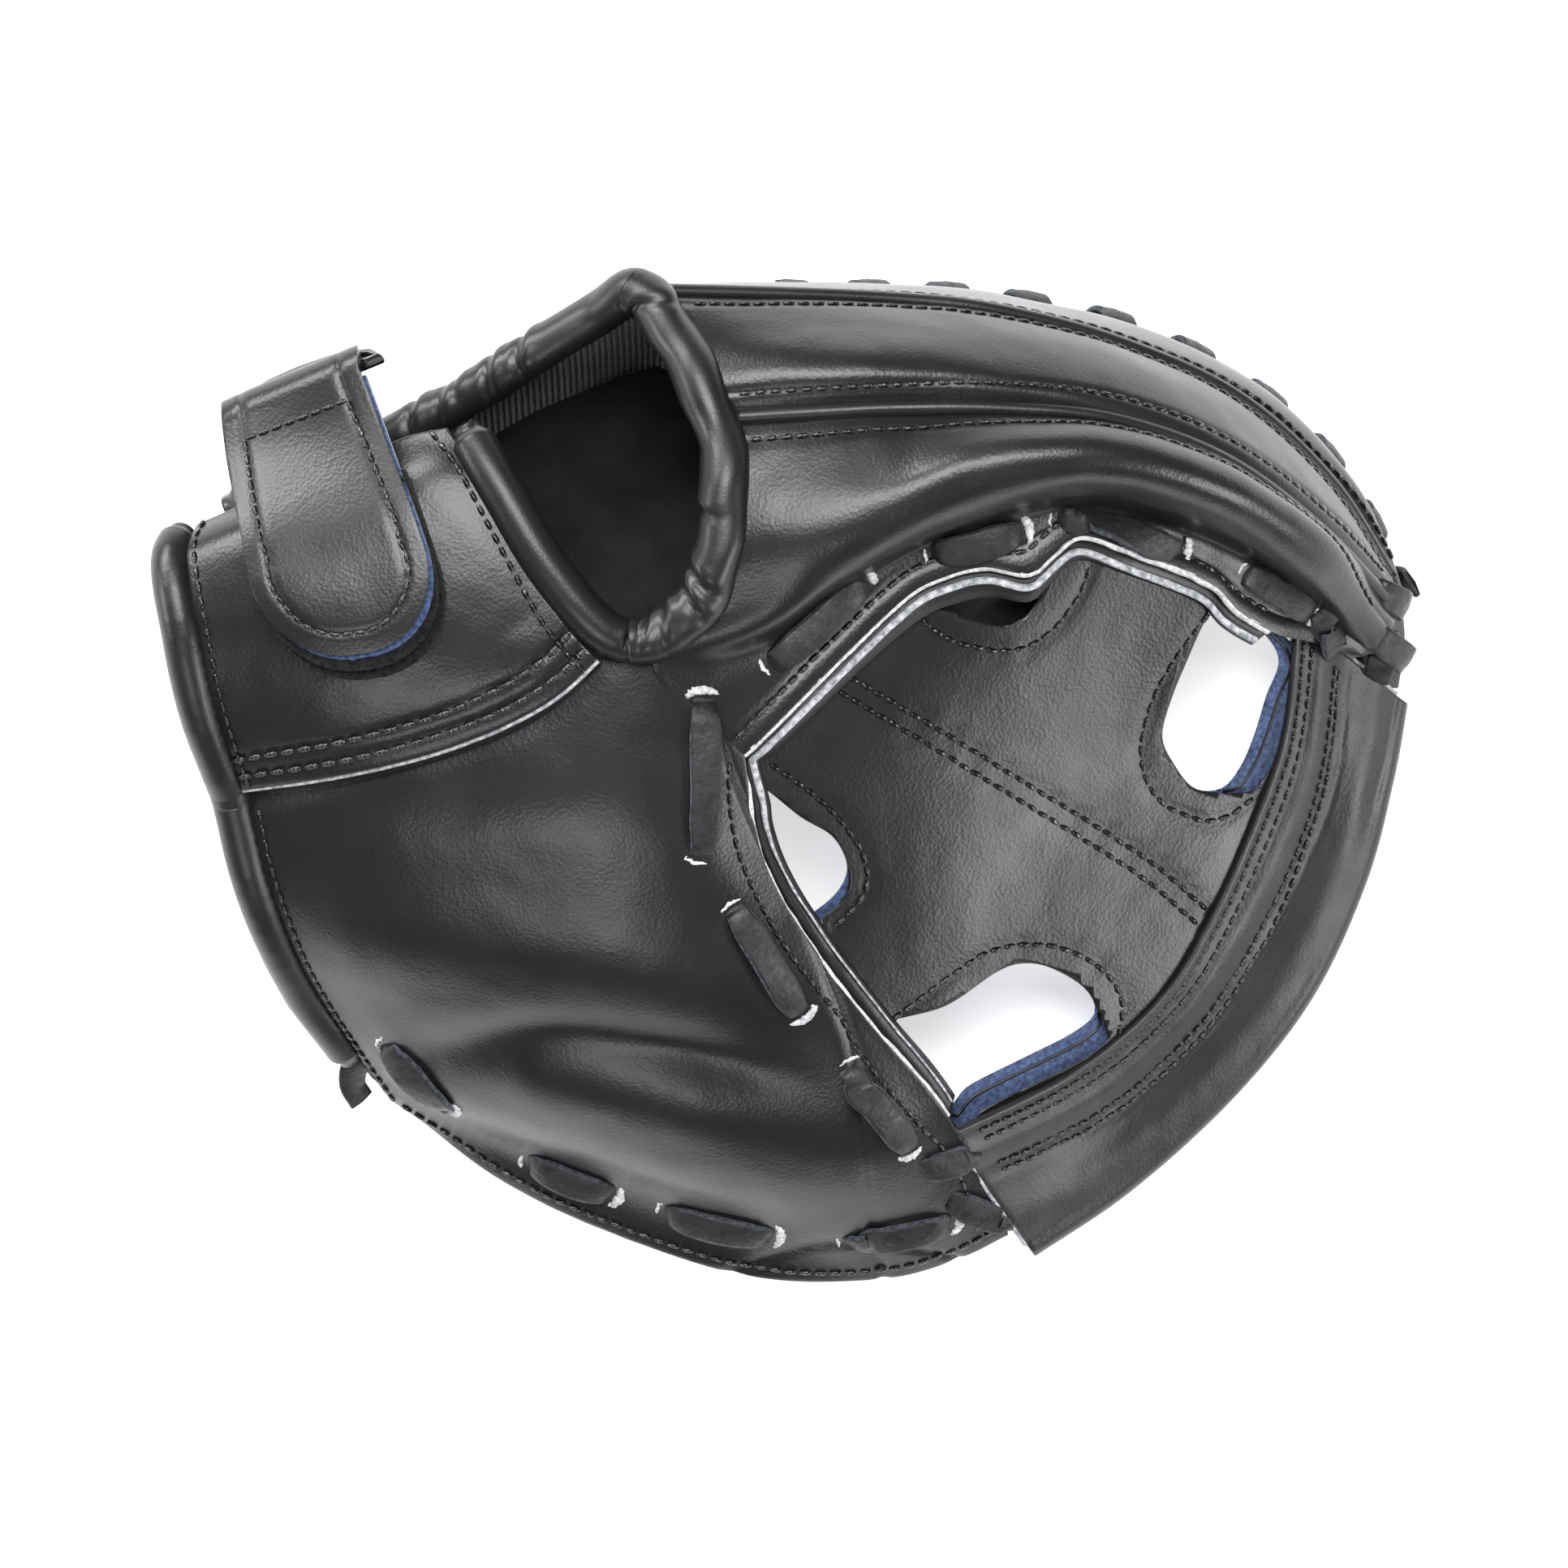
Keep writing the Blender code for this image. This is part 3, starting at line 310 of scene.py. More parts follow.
# A piece of lining at the opening's tip, and palm leather between the stall's tip and the bar.
OPENING_CORNER = (
    ((-46, 113, 86), (-36.5, 119, 88), (-27, 111, 92)),
    ((-45, 111, 70), (-36, 117, 72), (-27, 110, 76)),
    ((-44, 110, 45), (-36, 116, 46), (-27, 109, 50)),
    ((-47, 98, 24), (-36, 101, 24), (-24, 98, 26)),
)
PALM_CORNER = (
    ((136, 46, 27), (147, 46, 22), (154, 46, 12)),
    ((134, 36, 25), (146, 35, 20), (155, 36, 10)),
    ((134, 28, 22), (145, 25, 17), (153.5, 24, 9)),
)
CORNER_LACES = {
    "corner_lace_upper": ((146, 48.5, 22), (147.5, 47.8, 30), (151, 46.4, 29.5), (154.6, 44.8, 24),
                          (155.2, 44.3, 15)),
    "corner_lace_middle": ((145, 37.6, 24), (146.8, 37, 31), (150.6, 34.4, 29.5), (155, 31.4, 23),
                           (155.6, 31, 14)),
    "corner_lace_lower": ((147.5, 26, 20), (148.3, 28.2, 24.5), (149.2, 31.8, 26), (150, 36.5, 23),
                          (150.3, 38, 17)),
}
HEEL_LACE_END = ((-103, -66, 24), (-107, -70, 20), (-108, -75, 15), (-106, -79, 11))

SENSOR_WIDTH = 36
LIGHTS = {  # place, what it looks at, width and height in metres, and power in watts
    "key_light": ((-0.75, 0.95, 0.8), (0, 0, 0.05), 0.9, 0.5, 21.0),
    "fill_light": ((-0.15, -0.75, 1.0), (0, 0, 0.05), 0.5, 0.3, 3.2),
    "side_light": ((1.15, -0.5, 0.6), (0, 0, 0.05), 0.7, 0.4, 10.0),
    "left_light": ((-1.1, 0.05, 0.45), (0, 0, 0.05), 0.5, 0.3, 5.0),
    "top_light": ((0.05, 0.45, 1.45), (0, 0.02, 0), 0.9, 0.6, 25.0),
}


def to_frame(points):
    return (np.asarray(points, float) - ORIGIN) * MM


def spline(points, count):
    """count points on a smooth curve through the given ones, evenly spaced in their order."""
    points = np.asarray(points, float)
    held = np.vstack([2 * points[0] - points[1], points, 2 * points[-1] - points[-2]])
    made = []
    for place in np.linspace(0, len(points) - 1, count):
        k = min(int(place), len(points) - 2)
        t = place - k
        a, b, c, d = held[k:k + 4]
        bend = (2 * a - 5 * b + 4 * c - d) * t**2 + (3 * b - a - 3 * c + d) * t**3
        made.append(b + ((c - a) * t + bend) / 2)
    return np.array(made)


def closed_spline(points, count):
    """A smooth closed curve through the given points."""
    points = np.asarray(points, float)
    wrapped = np.vstack([points[-2:], points, points[:3]])
    fine = spline(wrapped, (len(wrapped) - 1) * 12 + 1)[24:-24]
    return even(fine, count + 1)[:-1]


def lengths(path):
    return np.concatenate([[0], np.cumsum(np.linalg.norm(np.diff(path, axis=0), axis=1))])


def even(path, count):
    """The path with its points spread evenly by length."""
    at = lengths(path)
    wanted = np.linspace(0, at[-1], count)
    return np.array([np.interp(wanted, at, path[:, k]) for k in range(path.shape[1])]).T


def loft(net, rows, columns):
    """A grid of rows x columns points on the smooth sheet through a net."""
    along = np.array([spline(row, columns) for row in net])
    return np.array([spline(along[:, k], rows) for k in range(columns)]).transpose(1, 0, 2)


def walk(path, start, end):
    """A path shortened by a distance at each end, with its points spread again."""
    at = lengths(path)
    wanted = start + (at[-1] - start - end) * at / at[-1]
    return np.array([np.interp(wanted, at, path[:, k]) for k in range(3)]).T


def spread(distance, count):
    given = np.atleast_1d(distance)
    return np.interp(np.linspace(0, len(given) - 1, count), np.arange(len(given)), given)


def trimmed(grid, first_row=0.0, last_row=0.0, first_column=0.0, last_column=0.0):
    """A grid drawn back from its edges by distances measured along the sheet."""
    rows, columns = grid.shape[:2]
    starts, ends = spread(first_row, columns), spread(last_row, columns)
    made = np.array([walk(grid[:, k], starts[k], ends[k]) for k in range(columns)]).transpose(1, 0, 2)
    starts, ends = spread(first_column, rows), spread(last_column, rows)
    return np.array([walk(row, starts[k], ends[k]) for k, row in enumerate(made)])


def unit(vectors):
    """The directions of rows of vectors, each with length one."""
    return vectors / np.maximum(np.linalg.norm(vectors, axis=-1, keepdims=True), 1e-9)


def normals(grid):
    """Unit normals, on the side that faces up and towards the little finger."""
    made = unit(np.cross(np.gradient(grid, axis=1), np.gradient(grid, axis=0)))
    return made if (made @ (0, 0.3, 1)).sum() > 0 else -made


def raised(grid, height):
    """The grid moved out along its own normals; height may differ from point to point."""
    return grid + np.atleast_3d(height) * normals(grid)


def quads(rows, columns, first=0, wrap=False):
    """The faces of a grid whose points are numbered row by row; wrap joins its last column to its first."""
    made = []
    for r in range(rows - 1):
        for c in range(columns if wrap else columns - 1):
            d = (c + 1) % columns
            made.append((first + r * columns + c, first + r * columns + d,
                         first + (r + 1) * columns + d, first + (r + 1) * columns + c))
    return made


def tube_faces(rows, sides):
    """The faces of a closed roll of rows x sides points, with its two ends."""
    ends = [tuple(range(sides)), tuple(range((rows - 1) * sides, rows * sides))[::-1]]
    return quads(rows, sides, wrap=True) + ends


def from_first_row(grid):
    """How far each point lies from the grid's first row, measured down its column."""
    return np.array([lengths(grid[:, k]) for k in range(grid.shape[1])]).T


def distance_to(path, points):
    """How far each point lies in the plan from a line of straight runs."""
    path = np.asarray(path, float)[:, :2]
    flat = points.reshape(-1, points.shape[-1])[:, :2]
    nearest = np.full(len(flat), 1e9)
    for a, b in zip(path[:-1], path[1:]):
        run = b - a
        share = np.clip(((flat - a) @ run) / max(run @ run, 1e-9), 0, 1)
        nearest = np.minimum(nearest, np.linalg.norm(flat - a - share[:, None] * run, axis=1))
    return nearest.reshape(points.shape[:-1])


def hump(distance, width):
    """A smooth bump: 1 at no distance, and near 0 beyond two widths."""
    return np.exp(-((distance / width) ** 2))


def rough(points, size, seed=0.0):
    """Smooth noise from -1 to 1 whose lumps are about size millimetres across."""
    flat = points.reshape(-1, 3) / size
    made = [noise.noise(Vector((x + seed, y - seed, z))) for x, y, z in flat]
    return np.array(made).reshape(points.shape[:-1])


class Surface:
    """Fine copies of some grids, to find the place and the normal over a point in the plan."""

    def __init__(self, *grids):
        faces = []
        first = 0
        for grid in grids:
            faces += quads(grid.shape[0], grid.shape[1], first)
            first += grid.shape[0] * grid.shape[1]
        self.points = np.vstack([grid.reshape(-1, 3) for grid in grids])
        self.tree = BVHTree.FromPolygons([Vector(p) for p in self.points], faces)

    def at(self, x, y):
        hit, normal, _, _ = self.tree.ray_cast(Vector((x, y, 300)), Vector((0, 0, -1)))
        if hit is None:
            near = self.points[np.argmin(np.hypot(self.points[:, 0] - x, self.points[:, 1] - y))]
            return np.array((x, y, near[2])), np.array((0.0, 0.0, 1.0))
        normal = np.array(normal)
        return np.array(hit), normal if normal[2] > 0 else -normal

    def lay(self, plan, count, lift=0.0):
        """A plan line laid on the surface: its points and the normals there."""
        line = even(spline(plan, 12 * len(plan)), count)
        found = [self.at(x, y) for x, y in line[:, :2]]
        points = np.array([place for place, _ in found])
        ups = np.array([up for _, up in found])
        return points + lift * ups, ups


def add_object(name, data):
    """Puts a new object in the scene."""
    made = bpy.data.objects.new(name, data)
    bpy.context.scene.collection.objects.link(made)
    return made


def place(name, points, faces, finish, body, nodes=(), slot="black_leather"):
    """Makes a mesh piece from points in net millimetres, says what it rides on, and hides the parts it stands
    for.
    """
    mesh = bpy.data.meshes.new(name)
    mesh.from_pydata([tuple(p) for p in to_frame(points)], [], faces)
    mesh.shade_smooth()
    piece = add_object(name, mesh)
    mesh.materials.append(finish)
    if nodes:
        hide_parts(*nodes)
    piece["home"] = body
    return piece


def settle(piece):
    """Applies a piece's modifiers, then puts it under its body's empty; a piece of the thumb half, or one of
    the finger half that reaches across to where the closing bend starts, keeps its place baked into its mesh
    instead.
    """
    graph = bpy.context.evaluated_depsgraph_get()
    mesh = bpy.data.meshes.new_from_object(piece.evaluated_get(graph))
    piece.modifiers.clear()
    piece.data = mesh
    body = piece["home"]
    low = min(vertex.co.y for vertex in mesh.vertices) / MM + ORIGIN[1]
    if body in (FINGER_HALF, THUMB_HALF) and (body == THUMB_HALF or low < BEND_START):
        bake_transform(piece)
    else:
        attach(piece, body)
    return piece


def sheet(name, grid, thickness, finish, body, nodes=(), slot="black_leather", bevel=0.5,
          cutters=()):
    """An open grid given a thickness and softened edges, with the cutters' shapes taken out of it."""
    piece = place(name, grid.reshape(-1, 3), quads(*grid.shape[:2]), finish, body, nodes, slot)
    solidify = piece.modifiers.new("thickness", "SOLIDIFY")
    solidify.thickness = thickness * MM
    solidify.offset = 0
    if bevel:
        rounding = piece.modifiers.new("edges", "BEVEL")
        rounding.width = bevel * MM
        rounding.segments = 2
        rounding.angle_limit = math.radians(50)
    for cutter in cutters:
        boolean = piece.modifiers.new(cutter.name, "BOOLEAN")
        boolean.operation = "DIFFERENCE"
        boolean.object = cutter
    return settle(piece)


def frames(path):
    """For each point of a path, its heading and two directions square to it, kept from twisting."""
    ahead = unit(np.gradient(path, axis=0))
    side = np.cross(ahead[0], (0, 0, 1))
    if np.linalg.norm(side) < 0.1:
        side = np.cross(ahead[0], (1, 0, 0))
    sides = []
    for heading in ahead:
        side = side - (side @ heading) * heading
        side = side / np.linalg.norm(side)
        sides.append(side)
    sides = np.array(sides)
    return ahead, sides, np.cross(sides, ahead)


def tube(name, path, radius, finish, body, nodes=(), slot="black_leather", sides=18):
    """A round roll along a path; radius is a number or a grid of path points x sides."""
    _, across, up = frames(path)
    angle = np.linspace(0, 2 * math.pi, sides, endpoint=False)
    radius = np.broadcast_to(radius, (len(path), sides))[..., None]
    ring = across[:, None] * np.cos(angle)[None, :, None] + up[:, None] * np.sin(angle)[None, :, None]
    points = (path[:, None] + radius * ring).reshape(-1, 3)
    return settle(place(name, points, tube_faces(len(path), sides), finish, body, nodes, slot))


def band(name, path, ups, width, thickness, finish, body, nodes=(), slot="lace_leather"):
    """A flat strap along a path, ups being the directions its face looks; its section has rounded edges."""
    ahead = unit(np.gradient(path, axis=0))
    ups = unit(ups - (ups * ahead).sum(axis=1, keepdims=True) * ahead)
    across = np.cross(ahead, ups)
    half = np.broadcast_to(width, len(path))[:, None] / 2
    thick = thickness / 2
    section = [(-1, 0), (-0.94, thick * 0.85), (-0.75, thick), (0, thick + LACE_CROWN),
               (0.75, thick), (0.94, thick * 0.85), (1, 0), (0.94, -thick * 0.85),
               (0.6, -thick), (0, -thick), (-0.6, -thick), (-0.94, -thick * 0.85)]
    points = np.array([path + x * half * across + z * ups for x, z in section]).transpose(1, 0, 2)
    count = len(section)
    piece = place(name, points.reshape(-1, 3), tube_faces(len(path), count), finish, body, nodes, slot)
    if finish == LACE:
        piece.data.materials.append(LACE_EDGE)
        for face in piece.data.polygons[:-2]:
            face.material_index = 1 if face.index % count in (0, 5, 6, 11) else 0
    return settle(piece)


def capsule(length, radius, rings=6, sides=6):
    """A stitch's own shape, lying along X."""
    points = []
    for k in range(rings):
        t = k / (rings - 1) * math.pi
        x = -math.cos(t) * length / 2
        r = radius * max(math.sin(t), 0.25) ** 0.5
        for s in range(sides):
            angle = 2 * math.pi * s / sides
            points.append((x, r * math.cos(angle), r * 0.8 * math.sin(angle)))
    return np.array(points), tube_faces(rings, sides)


def stitches(name, rows, body, pitch=STITCH_PITCH, radius=THREAD_RADIUS):
    """Threads laid end to end along lines on the leather; rows are pairs of points and normals."""
    shape, shape_faces = capsule(STITCH_LENGTH * pitch / STITCH_PITCH, radius)
    points = []
    faces = []
    for line, ups in rows:
        count = max(int(lengths(line)[-1] / pitch), 2)
        spots, above = even(line, count + 1), even(ups, count + 1)
        middles = (spots[1:] + spots[:-1]) / 2
        for k, middle in enumerate(middles):
            heading = spots[k + 1] - spots[k]
            heading = heading / max(np.linalg.norm(heading), 1e-9)
            up = above[k] - (above[k] @ heading) * heading
            up = up / max(np.linalg.norm(up), 1e-9)
            tilt = heading + 0.05 * math.sin(7 * k) * np.cross(up, heading)
            turned = np.array([tilt, np.cross(up, tilt), up])
            faces += [tuple(len(points) * len(shape) + v for v in face) for face in shape_faces]
            points.append(shape @ turned + middle + (radius * 0.5 - STITCH_SINK) * up)
    piece = place(name, np.vstack(points), faces, THREAD, body, slot="lace_leather")
    return settle(piece)


def edge_row(grid, lift=STITCH_LIFT, **inset):
    """A line on a grid at a distance inside one edge, with its normals: inset is as trimmed takes it."""
    cut = trimmed(grid, **inset)
    ups = normals(cut)
    pick = {"first_row": (0, slice(None)), "last_row": (-1, slice(None)),
            "first_column": (slice(None), 0), "last_column": (slice(None), -1)}[next(iter(inset))]
    return cut[pick] + lift * ups[pick], ups[pick]


class Shader:
    """A material with one Principled shader, and short ways to feed it."""

    def __init__(self, name, colour, roughness, metallic=0.0, sheen=0.0, coat=0.0, specular=0.5):
        self.made = bpy.data.materials.new(name)
        self.made.use_nodes = True
        self.tree = self.made.node_tree
        self.main = self.tree.nodes["Principled BSDF"]
        values = {"Base Color": (*colour, 1), "Roughness": roughness, "Metallic": metallic,
                  "Sheen Weight": sheen, "Coat Weight": coat, "Coat Roughness": 0.25,
                  "Specular IOR Level": specular}
        for socket, value in values.items():
            self.main.inputs[socket].default_value = value
        self.where = self.tree.nodes.new("ShaderNodeTexCoord").outputs["Object"]
        self.normal = None

    def link(self, a, b):
        self.tree.links.new(a, b)

    def add(self, kind, output, inputs, **settings):
        """A new node's output; its inputs take plain values or other nodes' outputs."""
        node = self.tree.nodes.new("ShaderNode" + kind)
        for setting, value in settings.items():
            setattr(node, setting, value)
        for name, value in inputs.items():
            if isinstance(value, bpy.types.NodeSocket):
                self.link(value, node.inputs[name])
            else:
                node.inputs[name].default_value = value
        return node.outputs[output]

    def noise(self, size, detail=3.0, distortion=0.0):
        """Noise with lumps of about size metres."""
        inputs = {"Scale": 1 / size, "Detail": detail, "Distortion": distortion, "Vector": self.where}
        return self.add("TexNoise", "Fac", inputs)

    def cells(self, size):
        return self.add("TexVoronoi", "Distance", {"Scale": 1 / size, "Vector": self.where})

    def waves(self, size, axis="X", distortion=0.0):
        inputs = {"Scale": 1 / size / 20 * 2 * math.pi, "Distortion": distortion, "Vector": self.where}
        return self.add("TexWave", "Fac", inputs, bands_direction=axis)

    def mapped(self, value, low, high, to_low, to_high):
        inputs = {"Value": value, "From Min": low, "From Max": high, "To Min": to_low, "To Max": to_high}
        return self.add("MapRange", "Result", inputs)

    def colour(self, value, *stops):
        """Colours the surface by a ramp of (place, colour) stops."""
        ramp = self.tree.nodes.new("ShaderNodeValToRGB")
        self.link(value, ramp.inputs["Fac"])
        for k, (place_on_ramp, colour) in enumerate(stops):
            stop = ramp.color_ramp.elements[k] if k < 2 else ramp.color_ramp.elements.new(place_on_ramp)
            stop.position = place_on_ramp
            stop.color = (*colour, 1)
        self.link(ramp.outputs["Color"], self.main.inputs["Base Color"])

    def bump(self, value, depth, strength=1.0):
        """Adds relief of about depth metres on top of any there is."""
        inputs = {"Strength": strength, "Distance": depth, "Height": value}
        if self.normal:
            inputs["Normal"] = self.normal
        self.normal = self.add("Bump", "Normal", inputs)
        self.link(self.normal, self.main.inputs["Normal"])

    def roughness(self, value):
        self.link(value, self.main.inputs["Roughness"])


def leather(name, tone, rough_low, rough_high, grain=0.0009, depth=0.0001, warm=0.0):
    """Smooth dyed hide: fine pebble grain, faint creases, and a sheen that varies where it was handled."""
    shader = Shader(name, (tone, tone, tone), rough_high)
    patch = shader.noise(0.03, 4)
    tint = (1 + warm, 1.0, 1.04 - warm)
    dark = tuple(tone * 0.92 * c for c in tint)
    light = tuple(tone * 1.12 * c for c in tint)
    shader.colour(patch, (0.3, dark), (0.7, light))
    shader.roughness(shader.mapped(shader.noise(0.02, 3), 0.25, 0.75, rough_low, rough_high))
    shader.bump(shader.noise(0.008, 3, distortion=0.8), 0.0003, 0.15)
    shader.bump(shader.cells(grain), depth, 0.42)
    shader.bump(shader.noise(grain * 0.4, 2), depth * 0.5, 0.3)
    return shader.made


def lace_finish():
    """Matte rawhide with long fibres and scuffs."""
    shader = Shader("lace_hide", (0.02, 0.021, 0.024), 0.5)
    shader.colour(shader.noise(0.003, 6), (0.35, (0.004, 0.004, 0.0045)), (0.7, (0.013, 0.0135, 0.016)))
    shader.roughness(shader.mapped(shader.noise(0.002, 4), 0.3, 0.7, 0.38, 0.62))
    shader.bump(shader.noise(0.0014, 6, distortion=0.6), 0.0003, 0.7)
    return shader.made


def fuzz(name, dark, light, size, depth, sheen):
    """Napped or fibrous surfaces: suede, hook tape and raw cut edges."""
    shader = Shader(name, light, 0.92, sheen=sheen, specular=0.2)
    shader.colour(shader.noise(size * 2.5, 6), (0.36, dark), (0.66, light))
    shader.bump(shader.noise(size, 6), depth, 0.9)
    return shader.made


def thread_finish():
    """Bonded thread: twisted plies with a small gloss."""
    shader = Shader("black_thread", (0.004, 0.004, 0.005), 0.24, coat=0.4)
    shader.bump(shader.waves(0.0007, "DIAGONAL", 1.0), 0.00015, 0.8)
    return shader.made


def mesh_cloth():
    """Ribbed mesh lining with rows of small holes; the rib crests carry a painted highlight and the grooves
    painted shade.
    """
    shader = Shader("ribbed_mesh", (0.012, 0.012, 0.013), 0.75, sheen=0.2)
    ribs = shader.waves(0.0015)
    # The ramp paints the rib crests light and the grooves dark along the same waves as the bump: a painted
    # highlight and painted shade on the ribs.
    shader.colour(ribs, (0.35, (0.008, 0.008, 0.009)), (0.75, (0.17, 0.172, 0.18)))
    shader.bump(ribs, 0.0009, 0.9)
    shader.bump(shader.cells(0.0013), 0.0004, 0.8)
    return shader.made


def plain_cloth():
    """Soft, dark palm lining with a close nap."""
    shader = Shader("palm_lining_cloth", (0.006, 0.006, 0.007), 0.9, sheen=0.1, specular=0.2)
    shader.colour(shader.noise(0.01, 5), (0.35, (0.004, 0.004, 0.0045)), (0.7, (0.009, 0.009, 0.01)))
    shader.bump(shader.noise(0.0006, 3), 0.0002, 0.8)
    return shader.made


def enamel():
    shader = Shader("black_enamel", (0.012, 0.012, 0.013), 0.22, metallic=0.6, coat=0.5)
    shader.bump(shader.noise(0.0008, 3), 0.00004, 0.6)
    shader.roughness(shader.mapped(shader.noise(0.003, 4), 0.3, 0.7, 0.16, 0.34))
    return shader.made


HIDE = leather("black_hide", 0.0085, 0.3, 0.37)
BAR_HIDE = leather("black_hide_bar", 0.012, 0.34, 0.48, warm=0.04)
PALM_HIDE = leather("black_hide_palm", 0.008, 0.34, 0.48, grain=0.0012)
ROLLED_HIDE = leather("black_hide_rolled", 0.008, 0.31, 0.44, grain=0.0008, depth=0.00006)
LACE = lace_finish()
LACE_EDGE = fuzz("lace_cut_edge", (0.012, 0.014, 0.018), (0.07, 0.08, 0.1), 0.0006, 0.0003, 0.1)
THREAD = thread_finish()
SUEDE = fuzz("blue_suede_nap", (0.02, 0.034, 0.09), (0.075, 0.12, 0.25), 0.0005, 0.0004, 0.5)
CUT_WHITE = fuzz("cut_edge_white", (0.42, 0.42, 0.44), (0.8, 0.8, 0.81), 0.0005, 0.0004, 0.1)
CUT_GREY = fuzz("cut_edge_grey", (0.22, 0.23, 0.25), (0.62, 0.63, 0.66), 0.0006, 0.0005, 0.3)
HOOK = fuzz("hook_tape_fuzz", (0.001, 0.001, 0.001), (0.014, 0.014, 0.015), 0.0005, 0.0012, 0.08)
FELT = fuzz("pad_felt_fibre", (0.3, 0.29, 0.27), (0.5, 0.49, 0.46), 0.0007, 0.0004, 0.4)
MESH_CLOTH = mesh_cloth()
LINING_CLOTH = plain_cloth()
ENAMEL = enamel()


def shaped_thumb_back():
    grid = trimmed(loft(THUMB_BACK, 76, 110), 0.4, 0, (4.6, 4.6, 4.6, 5, 6), 0)
    height = 0.5 * rough(grid, 30) + 0.12 * rough(grid, 7, 5)
    for line, rise, width in THUMB_RIDGES:
        fading = np.clip((14 - grid[..., 0]) / 36, 0, 1)
        height += rise * hump(distance_to(spline(line, 24), grid), width) * fading
    depth = lengths(grid[len(grid) // 2])[-1]
    from_crotch = depth - np.array([lengths(row) for row in grid])
    height -= 0.8 * hump(from_crotch - 7.5, 1.6)
    down = from_first_row(grid)
    height -= 0.7 * hump(down[-1, 55] - down - 4, 1.4)
    height -= 1.3 * hump(distance_to(spline(STRAP_SEAM, 30), grid), 3.2)
    return raised(grid, height)


def shaped_strap():
    grid = trimmed(loft(WRIST_STRAP, 56, 70), 0.0, 0, 4.4, 2.8)
    height = 0.35 * rough(grid, 24, 3) + 0.12 * rough(grid, 6, 8)
    from_seam = from_first_row(grid)
    height += 0.9 * np.clip(1.4 - from_seam / 14, 0, 1)
    for row in PANEL_ROWS:
        height -= 0.75 * hump(from_seam - row, 1.0)
    return raised(grid, height)


def shaped_index():
    grid = trimmed(loft(INDEX_BACK, 84, 110), 0, 1.6, (0.5, 0.5, 4, 6.5, 5, 4.6, 4.6), 0)
    from_rim = from_first_row(grid)
    rim = spline(CROTCH_RIM, 120)
    shift = np.interp(grid[0, :, 0], rim[:, 0], rim[:, 1]) - grid[0, :, 1]
    shift *= np.clip((132 - grid[0, :, 0]) / 8, 0, 1)
    grid[..., 1] += shift * hump(from_rim, 8)
    height = 0.35 * rough(grid, 22, 4) + 0.15 * rough(grid, 7, 9)
    height += 2.6 * hump(from_rim - 34, 13)
    height -= 0.7 * hump(from_rim - 4.8, 1.3)
    from_seam = from_rim[-1] - from_rim
    height -= 1.5 * hump(from_seam, 3.0)
    height -= 0.6 * hump(from_seam - 5.0, 1.0)
    return raised(grid, height)


def shaped_middle():
    grid = trimmed(loft(MIDDLE_BACK, 44, 110), 1.6, 1.6, 4.4, 0)
    height = 0.3 * rough(grid, 20, 6) + 0.12 * rough(grid, 6, 2)
    along = from_first_row(grid)
    across = along / along[-1]
    height += 1.0 * np.sin(math.pi * across)
    for distance in (along, along[-1] - along):
        height -= 1.2 * hump(distance, 2.6)
        height -= 0.5 * hump(distance - 4.6, 1.0)
    return raised(grid, height)


def shaped_outer():
    grid = trimmed(loft(OUTER_FINGER_BACK, 40, 110), 1.6, 0, (4.4, 0.9, 0.9), 0)
    height = 0.5 * rough(grid, 20, 7)
    along = from_first_row(grid)
    height -= 1.2 * hump(along, 2.6)
    height += 0.8 * np.sin(math.pi * along / along[-1])
    return raised(grid, height)


def shaped_bar():
    """Both plies of the bar, from the upper one's inner edge, over the outer fold, and back underneath."""
    top = loft(BAR, 30, 120)
    drop = np.zeros_like(top)
    drop[..., 2] = spread(BAR_DEPTH, len(top))[:, None]
    outward = unit((top[-1] - top[-2]) * (1, 1, 0))
    deep = BAR_DEPTH[-1] / 2
    turn = [top[-1] + deep * (math.sin(a) * outward - (0, 0, 1 - math.cos(a)))
            for a in np.linspace(0.3, 2.84, 8)]
    across = np.linspace(0, 1, len(top))[:, None]
    height = 0.22 * rough(top, 18, 1) + 0.14 * rough(top, 5, 3)
    width = np.array([lengths(top[:, k])[-1] for k in range(top.shape[1])])
    from_inner = across * width
    for row in BAR_ROWS:
        height -= 0.5 * hump(from_inner - row, 0.9)
    height += 0.7 * hump(from_inner - 9.5, 4.0)
    height += 1.0 * hump(across - 0.8, 0.16)
    upper = raised(top, height)
    return np.vstack([upper, np.array(turn), (top - drop)[::-1]]), upper


def pucker(path, radius, depth, seed, folds, pinches, open_ends):
    """A roll's radius along a path: soft swells, slanting pinches, and ends that draw in where open."""
    at = lengths(path)[:, None]
    angle = np.linspace(0, 2 * math.pi, BINDING_SIDES, endpoint=False)[None, :]
    made = np.zeros((len(path), BINDING_SIDES))
    for k in range(len(path)):
        for s, turn in enumerate(angle[0]):
            spot = Vector((at[k, 0] / folds + 0.5 * math.cos(turn + seed), math.sin(turn) * 0.6, seed))
            made[k, s] = noise.noise(spot)
    made = radius + depth * made
    for n, share in enumerate(pinches):
        turn = angle - 2.6 + 0.8 * math.sin(2.3 * n)
        from_fold = at - share * at[-1] - 3.2 * np.sin(turn)
        one_side = np.clip(0.45 + 0.75 * np.cos(turn), 0, 1)
        made -= (0.75 + 0.3 * math.sin(5.1 * n)) * one_side * hump(from_fold, 1.3)
        made += 0.4 * one_side * hump(from_fold - 2.9, 1.8)
    if open_ends[0]:
        made = made * np.clip(at / 4, 0.5, 1) ** 0.5
    if open_ends[1]:
        made = made * np.clip((at[-1] - at) / 4, 0.5, 1) ** 0.5
    return made


